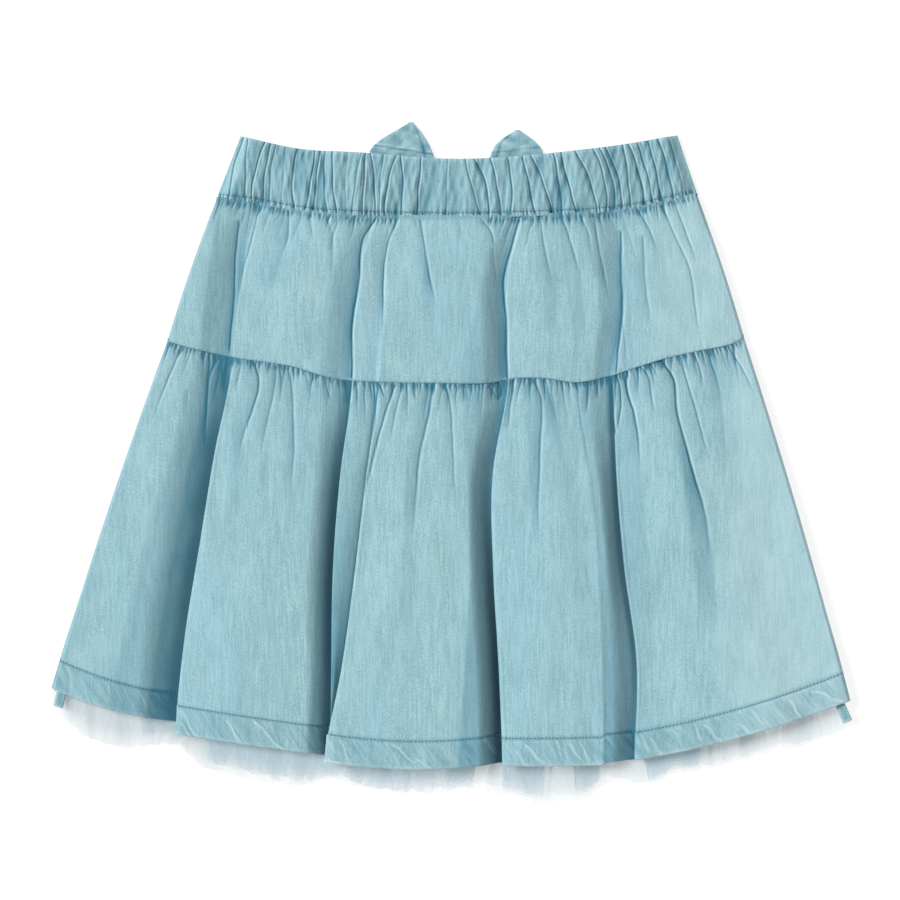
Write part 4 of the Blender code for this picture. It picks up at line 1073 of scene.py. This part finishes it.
def make_lower_tier(cloth):
    """The gathered lower tier, with its topstitched hem."""
    grid = dressed_tier("lower")
    x = grid["x"]
    d = grid["d"]
    face = grid["face"]
    relief, ridges = hem_relief(x, d)
    grid["z"] = grid["z"] + relief * face
    in_hem = smooth((HEM_DEPTH - d) / 1.5)
    patchy = np.clip(0.5 + 0.5 * wrinkle(x, 0.0 * x, *HEM_WEAR), 0.35, 1.0)
    dappled = wrinkle(x + HEM_SLANT * d, d, *HEM_DAPPLE) * in_hem
    grid["worn"] = (grid["worn"] + 1.5 * bell(d - 0.2, 1.1) * patchy + 1.5 * ridges * face
                    + 0.25 * kept(dappled - 0.3))
    # Darker over the hem band and its dapples with the cloth's own tone; painted shade in the stitched
    # groove and where the hem sinks
    grid["sunk"] = (grid["sunk"] + 0.15 * in_hem + 0.6 * bell(d - HEM_DEPTH, 0.7)
                    + 0.16 * kept(-dappled) + 0.4 * kept(-relief) * in_hem)
    stitches = line_at(grid, "d", HEM_DEPTH)
    grid = tucked(wrapped(grid, reach=HEM_DEPTH, drop=1.0), up=1.6, down=TUCK_DROP)
    made = add_sheet("lower_tier_back_cloth", side_closed(grid, CLOTH_WALL), cloth)
    place_piece(made, "lower_tier_back")
    return stitches


def make_upper_tier(cloth):
    """The upper tier, puckered above the seam at its lower edge too."""
    grid = dressed_tier("upper", FLAT_WAIST)
    d = grid["d"]
    depth, line, edge = gathered(PUCKERS_ABOVE_TIER, TIER_SEAM, grid["x"][-1], d)
    lip = bell(d, 0.5)
    grid["z"] = grid["z"] - depth - 0.2 * lip
    # Pale edges of the puckers, part wear and part painted highlight; painted shade along their lines
    # and at the lip over the seam
    grid["worn"] = grid["worn"] + 0.6 * edge
    grid["sunk"] = grid["sunk"] + 0.6 * line + 0.3 * lip
    grid = tucked(wrapped(grid, reach=2.5, drop=0.5), up=2.0, down=TUCK_DROP)
    made = add_sheet("upper_tier_back_cloth", side_closed(grid, CLOTH_WALL), cloth)
    place_piece(made, "upper_tier_back")


def band_places(columns, rows):
    """Shares across and down the waistband, the x of each column's ends, and x and y."""
    p = np.linspace(0.0, 1.0, columns + 1)[None, :]
    v = np.linspace(0.0, 1.0, rows + 1)[:, None]
    x_top = mix(WAIST_TOP[0][0], WAIST_TOP[-1][0], p)
    x_end = mix(WAIST_SEAM[0][0], WAIST_SEAM[-1][0], p)
    y = mix(edge_y(WAIST_TOP, x_top), edge_y(WAIST_SEAM, x_end) + SEAM_GAP / 2, v)
    return p, v, x_top, x_end, mix(x_top, x_end, v), y


def band_creased(x, v, above):
    """Depth, painted dark line and painted highlights on the ridges of the casing's folds."""
    depth = np.zeros_like(x)
    line = np.zeros_like(x)
    ridge = np.zeros_like(x)
    for k, crease in enumerate(BAND_CREASES):
        middle = ((1.0 - v) * (1.0 - 2.0 * v) * crease.top + 4.0 * v * (1.0 - v) * crease.middle
                  + v * (2.0 * v - 1.0) * crease.bottom)
        away = x - middle - 0.22 * np.sin(above * 0.3 + 1.7 * k)
        depth += crease.depth * leaning(away / crease.half_width, 1.5, 0.55)
        line += min(crease.depth, 1.0) * bell(away, LINE_HALF)
        ridge += crease.depth * (bell(away - 1.05, 0.45) + 0.4 * bell(away + 2.4, 0.6))
    return depth, line, ridge


def make_waistband(cloth):
    """The gathered back of the elastic casing, rolled over at its top edge."""
    p, v, x_top, x_end, x, y = band_places(BAND_COLUMNS, BAND_ROWS)
    below = y - y[-1:]
    above = y[:1] - y
    depth, line, ridge = band_creased(x, v, above)
    low, low_line, low_edge = gathered(BAND_PUCKERS, WAIST_SEAM, x_end, below)
    high, high_line, high_edge = gathered(BAND_TOP_PUCKERS, WAIST_TOP, x_top, above)
    ripple, ripple_line, ripple_edge = gathered(BAND_RIPPLES, WAIST_SEAM, x_end, below)
    swell = 0.5 * wrinkle(x, y, *BAND_SWELL) + 0.28 * wrinkle(x, y, *BAND_FINE_SWELL)
    stitched = bell(below - BAND_STITCH_FROM_SEAM, 0.9)
    ditch = bell(below, 0.8)
    roll = BAND_PUFF * (1.0 - np.sqrt(1.0 - (1.0 - kept(above / BAND_ROLL_HEIGHT)) ** 2))
    z = (BAND_BACK_Z + BAND_PUFF - 0.95 * depth + 0.35 * ridge - low - 0.7 * high - 0.5 * ripple + swell
         - 0.4 * stitched - 0.35 * ditch - roll)
    to_side = smooth(np.minimum(p, 1.0 - p) * 30.0)
    grid = {"x": x, "y": y, "z": mix(BAND_WALL * 1.5 + LAYER_GAP, z, to_side) + bow_lift(x)}
    # Painted shade along the lines of creases and gathers, at the stitches, in the ditch and in
    # hollows, over the casing's own darker tone
    grid["sunk"] = (0.14 + np.minimum(line, 1.0) + 0.8 * low_line + 0.6 * high_line
                    + 0.9 * ripple_line + 0.12 * stitched + 0.2 * ditch + 0.6 * kept(-swell))
    # Paler with wear at the rolled top edge, and just above the seam; painted highlights on the
    # creases' ridges; gathers' edges part wear and part painted highlight
    grid["worn"] = (0.4 * bell(above, 0.8) + 0.7 * bell(below - 1.4, 0.8) + kept(ridge - 0.2, 0.9)
                    + 0.7 * low_edge + 0.4 * high_edge + 0.9 * ripple_edge)
    # Painted shade in the darkest lines of the creases and gathers
    grid["core"] = 0.75 * kept(line - 0.3) + 0.2 * low_line * (line > 0.2)
    stitches = line_at({**grid, "below": below}, "below", BAND_STITCH_FROM_SEAM)
    rolled = []
    for angle in BAND_TURN_ANGLES:
        turned = {key: values[:1] for key, values in grid.items()}
        turned["y"] = turned["y"] + BAND_TURN_RADIUS * math.sin(angle)
        turned["z"] = turned["z"] - BAND_TURN_RADIUS * (1.0 - math.cos(angle))
        rolled.append(turned)
    grid = {key: np.concatenate([row[key] for row in rolled] + [values])
            for key, values in grid.items()}
    made = add_sheet("waistband_back_cloth", side_closed(grid, BAND_WALL), cloth)
    place_piece(made, "waistband_back")
    return stitches


def hem_at(x):
    """The y of the back's hem below x, as it shows from above."""
    edges = np.array([HEM_CORNERS[0]] + [fold.lower[-1] for fold in FOLDS] + [HEM_CORNERS[1]])
    k = np.searchsorted(edges[1:-1], x, side="right")
    p = kept((x - edges[k]) / (edges[k + 1] - edges[k]))
    left, right, sag = (np.array(column)[k] for column in list(zip(*PANELS))[:3])
    return sagging(left, right, sag, p)


def make_tier_front(tier, rows, cloth):
    """A front panel, which lies flat under everything."""
    p = np.linspace(0.0, 1.0, FRONT_COLUMNS + 1)
    v = np.linspace(0.0, 1.0, rows + 1)[:, None]
    x_top = mix(side_x(tier, -1, 0.0), side_x(tier, 1, 0.0), p)
    x_end = mix(side_x(tier, -1, 1.0), side_x(tier, 1, 1.0), p)
    y_top = edge_y(TOP_SEAM[tier], x_top) - SEAM_GAP / 2
    y_end = edge_y(TIER_SEAM, x_end) + SEAM_GAP / 2 if tier == "upper" else hem_at(x_end)
    x = mix(side_x(tier, -1, v), side_x(tier, 1, v), p)
    y = mix(y_top, y_end, v)
    grooves = gathered(LOOKS[tier].gathers, TOP_SEAM[tier], x_top, y[:1] - y)[0]
    z = 0.3 + 0.3 * kept(grooves, 1.5) + 0.12 * (1.0 + wrinkle(x, y, *FRONT_WAVES))
    if tier == "upper":
        z = z + bow_lift(x) * held_up(v)
    # Painted shade in the grooves below the seam
    grid = {"x": x, "y": y, "z": z, "worn": 0.0, "sunk": 0.6 * kept(grooves)}
    made = add_sheet(f"{tier}_tier_front_cloth", grid, cloth)
    place_piece(made, f"{tier}_tier_front")


def make_band_front(cloth):
    """The front of the elastic casing."""
    _, v, x_top, _, x, y = band_places(FRONT_COLUMNS, BAND_FRONT_ROWS)
    dips = gathered(FRONT_BAND_DIPS, WAIST_TOP, x_top, 30.0 * v + 0.0 * x)[0]
    # Painted shade in the dips
    grid = {"x": x, "y": y, "z": 0.3 + 0.5 * dips + bow_lift(x), "worn": 0.0,
            "sunk": 0.6 * kept(dips)}
    made = add_sheet("waistband_front_cloth", grid, cloth)
    place_piece(made, "waistband_front")


def pleats(x, lean, seed, narrow, wide):
    """Uneven flat pleats across the tulle: a level for each, and how near an edge lies."""
    rng = random.Random(seed)
    level = np.zeros_like(x)
    edge = np.zeros_like(x)
    at = -PLEATS_REACH
    while at < PLEATS_REACH:
        rise = rng.choice((-1.0, -0.5, 0.5, 1.0)) * rng.uniform(0.4, 1.0)
        slant = rng.uniform(-0.35, 0.35)
        away = x - at - slant * lean
        level += rise * smooth(away / 0.8 + 0.5)
        edge = np.maximum(edge, bell(away, 0.5))
        at += rng.uniform(narrow, wide)
    return level - level.mean(), edge


def hidden_net(p):
    """Rows of x, y and the share of the bow's lift, where the tiers cover the net."""
    rows = []
    for v in (0.0, BOW_REACH / 2, 0.5, 0.75, 1.0):
        tier, t = ("upper", v * 2.0) if v < 0.5 else ("lower", v * 2.0 - 1.0)
        inset = mix(TULLE_INSET, TULLE_INSET_AT_HEM, smooth((v - 0.5) * 2.0))
        x = mix(side_x(tier, -1, t) + inset, side_x(tier, 1, t) - inset, p)
        x_waist = mix(WAIST_SEAM[0][0] + TULLE_INSET, WAIST_SEAM[-1][0] - TULLE_INSET, p)
        x_tier = mix(TIER_SEAM[0][0] + inset, TIER_SEAM[-1][0] - inset, p)
        top = edge_y(WAIST_SEAM, x_waist) - SEAM_GAP - LAYER_GAP
        middle = edge_y(TIER_SEAM, x_tier)
        y = mix(top, middle, t) if tier == "upper" else mix(middle, hem_at(x) + 4.0, t)
        rows.append((x, y, held_up(t) if tier == "upper" else 0.0))
    return [np.array(column) for column in zip(*rows)]


def net_edge(layer, x_edge, hem):
    """The y of a layer's ragged edge. The blue stays up at the hem where the white shows."""
    teeth, _ = pleats(x_edge, 0.0, layer.seed + 20, *TEETH_SPACING)
    ragged = (0.9 * wrinkle(x_edge, 0.0 * x_edge, layer.seed, 7.0, 50.0)
              + 1.3 * np.clip(teeth, -1.5, 1.5))
    short = layer.shorter + 1.8 + np.clip(ragged, -1.8, 4.0)
    if layer.colour == "tulle_white":
        return edge_y(TULLE_EDGE, x_edge) + short
    shown = np.zeros_like(x_edge)
    for left, right, more in BLUE_SHOWN:
        inside = smooth((x_edge - left) / 1.6 + 0.5) * smooth((right - x_edge) / 1.6 + 0.5)
        shown = np.maximum(shown, inside)
        short = short + more * inside
    return mix(hem + 2.0, edge_y(TULLE_EDGE, x_edge) + short, shown)


def make_petticoat(materials):
    """Four nets that hang from the waist seam, pleated and ragged where they show."""
    p = np.linspace(0.0, 1.0, NET_COLUMNS + 1)
    x_hidden, y_hidden, held = hidden_net(p)
    x_hem = x_hidden[-1]
    y_hem = y_hidden[-1]
    x_edge = mix(TULLE_EDGE[0][0], TULLE_EDGE[-1][0], p)
    free_rows = np.linspace(0.06, 1.0, NET_FREE_ROWS)
    held = np.concatenate([held, 0.0 * free_rows])[:, None]
    reach = np.concatenate([np.zeros(len(x_hidden)), free_rows])[:, None]
    side = smooth(np.minimum(p, 1.0 - p) * 80.0)
    x = np.concatenate([x_hidden, mix(x_hem, x_edge, free_rows[:, None])])
    for layer in LAYERS:
        y_edge = net_edge(layer, x_edge, hem_at(x_hem))
        y = np.concatenate([y_hidden, mix(y_hem, y_edge, free_rows[:, None])])
        past = np.maximum(y_hem - y, 0.0)
        level, edge = pleats(x, past, layer.seed + 40, *PLEAT_SPACING)
        ruffle = 0.35 * wrinkle(x, 0.3 * y, layer.seed + 80, 14.0, 60.0)
        z = TULLE_Z + layer.level * TULLE_STEP + bow_lift(x) * held
        z = z + smooth((past - 5.0) / 10.0) * (0.45 * np.clip(level, -1.2, 1.2) + ruffle - 0.6)
        density = 0.72 + 0.3 * np.sin(2.1 * level) + 0.35 * edge
        fade = (1.0 - 0.6 * smooth((reach - 0.4) / 0.6)) * density * (0.3 + 0.7 * side)
        grid = {"x": x, "y": y, "z": np.maximum(z, NET_REST_Z), "fade": fade}
        made = add_sheet(f"{layer.name}_net", grid, materials[layer.colour])
        place_piece(made, layer.name)


def thickened(made, thickness, offset):
    ply = made.modifiers.new("ply", "SOLIDIFY")
    ply.thickness = thickness * MM
    ply.offset = offset


def overlock_thread(name, start, along, across, material):
    """Thread wound round one edge of a seam's end."""
    curve = bpy.data.curves.new(name, "CURVE")
    curve.dimensions = "3D"
    curve.bevel_depth = OVERLOCK_RADIUS * MM
    curve.bevel_resolution = 1
    spline = curve.splines.new("POLY")
    steps = OVERLOCK_TURNS * 8
    spline.points.add(steps)
    for k in range(steps + 1):
        angle = math.tau * OVERLOCK_TURNS * k / steps
        centre = start + along * k / steps + across * (0.40 + 0.12 * math.sin(angle))
        height = SEAM_END_Z + 0.35 + 0.45 * math.cos(angle)
        spline.points[k].co = (centre[0] * MM, centre[1] * MM, height * MM, 1.0)
    thread = bpy.data.objects.new(name, curve)
    bpy.context.scene.collection.objects.link(thread)
    curve.materials.append(material)
    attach(thread, BODY)


def make_seam_ends(cloth, edge_thread):
    """The overlocked ends of the side seams: two plies with thread wrapped over both edges."""
    s = np.linspace(-1.0, 1.0, 21)
    t = np.linspace(0.0, 1.0, 40)[:, None]
    for name, start, end, width in SEAM_ENDS:
        start = np.array(start)
        along = np.array(end) - start
        across = width * np.array([along[1], -along[0]]) / np.linalg.norm(along)
        worn = 0.8 * smooth((np.abs(s) - 0.55) / 0.2) * (0.5 + 0.5 * np.sin(60.0 * t))
        grid = {"x": start[0] + along[0] * t + across[0] * s / 2.0,
                "y": start[1] + along[1] * t + across[1] * s / 2.0,
                "z": SEAM_END_Z + 0.5 * np.sqrt(kept(1.0 - s ** 4)) + 0.12 * np.sin(9.0 * t + 2.0 * s),
                "worn": 1.6 * (worn + 0.7 * smooth((t - 0.9) / 0.06)), "sunk": 0.3}
        made = add_sheet(f"{name}_ply", grid, cloth)
        thickened(made, thickness=0.6, offset=-1.0)
        place_piece(made, name)
        overlock_thread(f"{name}_thread_left", start, along, -across, edge_thread)
        overlock_thread(f"{name}_thread_right", start, along, across, edge_thread)


def folded_strip(under, top, tip=None):
    """Rows of a strip that runs out underneath, turns at its tip and comes back on top."""
    return np.concatenate([under, under[-1:] if tip is None else tip, top[::-1]])


def make_bow_loop(name, cloth):
    stations = np.array(BOW_LOOPS[name])
    count = len(stations)
    fine = np.linspace(0.0, count - 1.0, LOOP_ROWS)
    path = np.stack([np.interp(fine, np.arange(count), stations[:, k]) for k in range(4)], axis=1)
    for _ in range(LOOP_SMOOTHING):
        path[1:-1] = (path[:-2] + 2.0 * path[1:-1] + path[2:]) / 4.0
    s = np.linspace(0.0, 1.0, LOOP_COLUMNS)[None, :]
    x = mix(path[:, :1], path[:, 2:3], s)
    y = mix(path[:, 1:2], path[:, 3:4], s)
    puff = np.sin(math.pi * s) * smooth(fine / 2.0)[:, None]
    creasing = wrinkle(x, y, *BOW_WAVES)
    crease = bell(s - 0.86, 0.03)
    pressed_y, slope, strength = BOW_PRESSED[name]
    across = y - pressed_y - slope * x
    pressed = strength * bell(across, 0.5)
    bare = 0.0 * x
    low = LOOP_WALL / 2.0 + BOW_CLEARANCE + bare
    high = low + LOOP_WALL + LOOP_LAYER_GAP
    high = high + 0.25 * puff + 0.4 * creasing * puff - 0.35 * crease - 0.3 * pressed
    # Paler along the edges; painted shade in the crease, the pressed line and the hollows; painted
    # highlights on the crests and beside the pressed line
    edge = bell(np.minimum(s, 1.0 - s), 0.03) + bare
    painted_shade = 0.6 * crease + 0.9 * pressed + 0.35 * kept(-creasing)
    bright = 0.5 * kept(creasing - 0.4) + 0.8 * strength * bell(across - 1.1, 0.6)
    grid = {"x": folded_strip(x, x), "y": folded_strip(y, y, y[-1:] + 0.5),
            "z": folded_strip(low, high, mix(low[-1:], high[-1:], 0.5)),
            "worn": 0.5 * folded_strip(edge, edge) + folded_strip(bare, bright),
            "sunk": 0.15 + folded_strip(bare, painted_shade)}
    made = add_sheet(f"{name}_cloth", grid, cloth)
    thickened(made, thickness=0.5, offset=0.0)
    place_piece(made, name)


def make_bow_knot(cloth):
    low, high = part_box("bow_knot")
    centre = (low + high) / 2.0
    size = high - low
    u = np.linspace(0.0, math.tau, 49)[None, :-1]
    v = np.linspace(-math.pi / 2.0, math.pi / 2.0, 25)[:, None]

    def rounded(c, power):
        return np.sign(c) * np.abs(c) ** power

    x = size.x / 2.0 * rounded(np.cos(u), 0.6) * np.cos(v) ** 0.5
    y = size.y / 2.0 * rounded(np.sin(u), 0.6) * np.cos(v) ** 0.5
    z = size.z / 2.0 * rounded(np.sin(v), 0.8)
    ribs = 1.0 + 0.03 * np.sin(7.0 * y / size.y * math.tau)
    grid = {"x": (x * ribs + centre.x) / MM, "y": (y + centre.y) / MM, "z": (z + centre.z) / MM,
            "worn": 0.0, "sunk": 0.2}
    made = add_sheet("bow_knot_cloth", grid, cloth, closed=True)
    place_piece(made, "bow_knot")


def stitch_row(name, line, thread):
    """Short threads along a line of points, each lying along it and sunk at its ends."""
    line = np.asarray(line)
    along = np.concatenate([[0.0], np.cumsum(np.linalg.norm(np.diff(line, axis=0), axis=1))])

    def at(distance):
        return np.array([np.interp(distance, along, line[:, axis]) for axis in range(3)])

    vertices = []
    faces = []
    for k in range(int(along[-1] / STITCH_PITCH)):
        base = len(vertices)
        for place, size in STITCH_RINGS:
            s = (k + 0.5) * STITCH_PITCH + place * STITCH_LENGTH
            here = at(s)
            heading = Vector(at(s + 0.3) - here).normalized()
            sidewards = heading.cross(Vector((0.0, 0.0, 1.0))).normalized()
            upwards = sidewards.cross(heading)
            centre = Vector(here) + upwards * (0.22 * size - 0.12)
            for j in range(STITCH_SIDES):
                a = math.tau * j / STITCH_SIDES
                offset = sidewards * math.cos(a) + upwards * math.sin(a)
                vertices.append((centre + offset * STITCH_RADIUS * size) * MM)
        for ring in range(base, base + (len(STITCH_RINGS) - 1) * STITCH_SIDES, STITCH_SIDES):
            for j in range(STITCH_SIDES):
                a = ring + j
                b = ring + (j + 1) % STITCH_SIDES
                faces.append((a, b, b + STITCH_SIDES, a + STITCH_SIDES))
        faces.append(tuple(base + j for j in reversed(range(STITCH_SIDES))))
        faces.append(tuple(range(len(vertices) - STITCH_SIDES, len(vertices))))
    made = link_mesh(name, vertices, faces, thread)
    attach(made, BODY)


def make_floor():
    size = 6.0
    white = (1.0, 1.0, 1.0, 1.0)
    paper, _ = new_material("lit_paper", {"Base Color": (0.24, 0.24, 0.24, 1.0), "Roughness": 0.9,
                                          "Specular IOR Level": 0.2, "Emission Color": white,
                                          "Emission Strength": 0.82})
    corners = [(-size, -size, 0), (size, -size, 0), (size, size, 0), (-size, size, 0)]
    floor = link_mesh("floor", corners, [(0, 1, 2, 3)], paper)
    floor.location.z = -0.0002


def make_light():
    world = bpy.data.worlds.new("studio")
    world.use_nodes = True
    background = world.node_tree.nodes["Background"]
    background.inputs["Color"].default_value = (1.0, 1.0, 1.0, 1.0)
    background.inputs["Strength"].default_value = SKY_STRENGTH
    bpy.context.scene.world = world
    data = bpy.data.lights.new("key", "SUN")
    data.energy = KEY_STRENGTH
    data.angle = KEY_ANGLE
    light = bpy.data.objects.new("key", data)
    light.location = KEY_FROM
    light.rotation_euler = (-Vector(KEY_FROM)).to_track_quat("-Z", "Y").to_euler()
    bpy.context.scene.collection.objects.link(light)
    bpy.context.scene.view_settings.view_transform = "Standard"


def make_camera():
    data = bpy.data.cameras.new("camera")
    data.sensor_width = SENSOR
    data.lens = SENSOR * (CAMERA_HEIGHT - CAMERA_PLANE) / FRAME_WIDTH
    data.clip_end = 20.0
    camera = bpy.data.objects.new("camera", data)
    camera.location = (*FRAME_CENTRE, CAMERA_HEIGHT)
    bpy.context.scene.collection.objects.link(camera)
    bpy.context.scene.camera = camera


def main():
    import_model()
    make_camera()
    make_floor()
    make_light()
    cloth = chambray("washed_chambray")
    thread = plain("seam_thread", THREAD_BLUE)
    pale_thread = plain("overlock_thread", THREAD_PALE)
    nets = {key: tulle(f"{key}_net", *look) for key, look in NETS.items()}
    make_tier_front("upper", 40, cloth)
    make_tier_front("lower", 70, cloth)
    make_band_front(cloth)
    make_petticoat(nets)
    make_seam_ends(cloth, pale_thread)
    hem_line = make_lower_tier(cloth)
    make_upper_tier(cloth)
    band_line = make_waistband(cloth)
    for name in BOW_LOOPS:
        make_bow_loop(name, cloth)
    make_bow_knot(cloth)
    stitch_row("hem_stitches", hem_line, thread)
    stitch_row("waist_stitches", band_line, thread)


main()
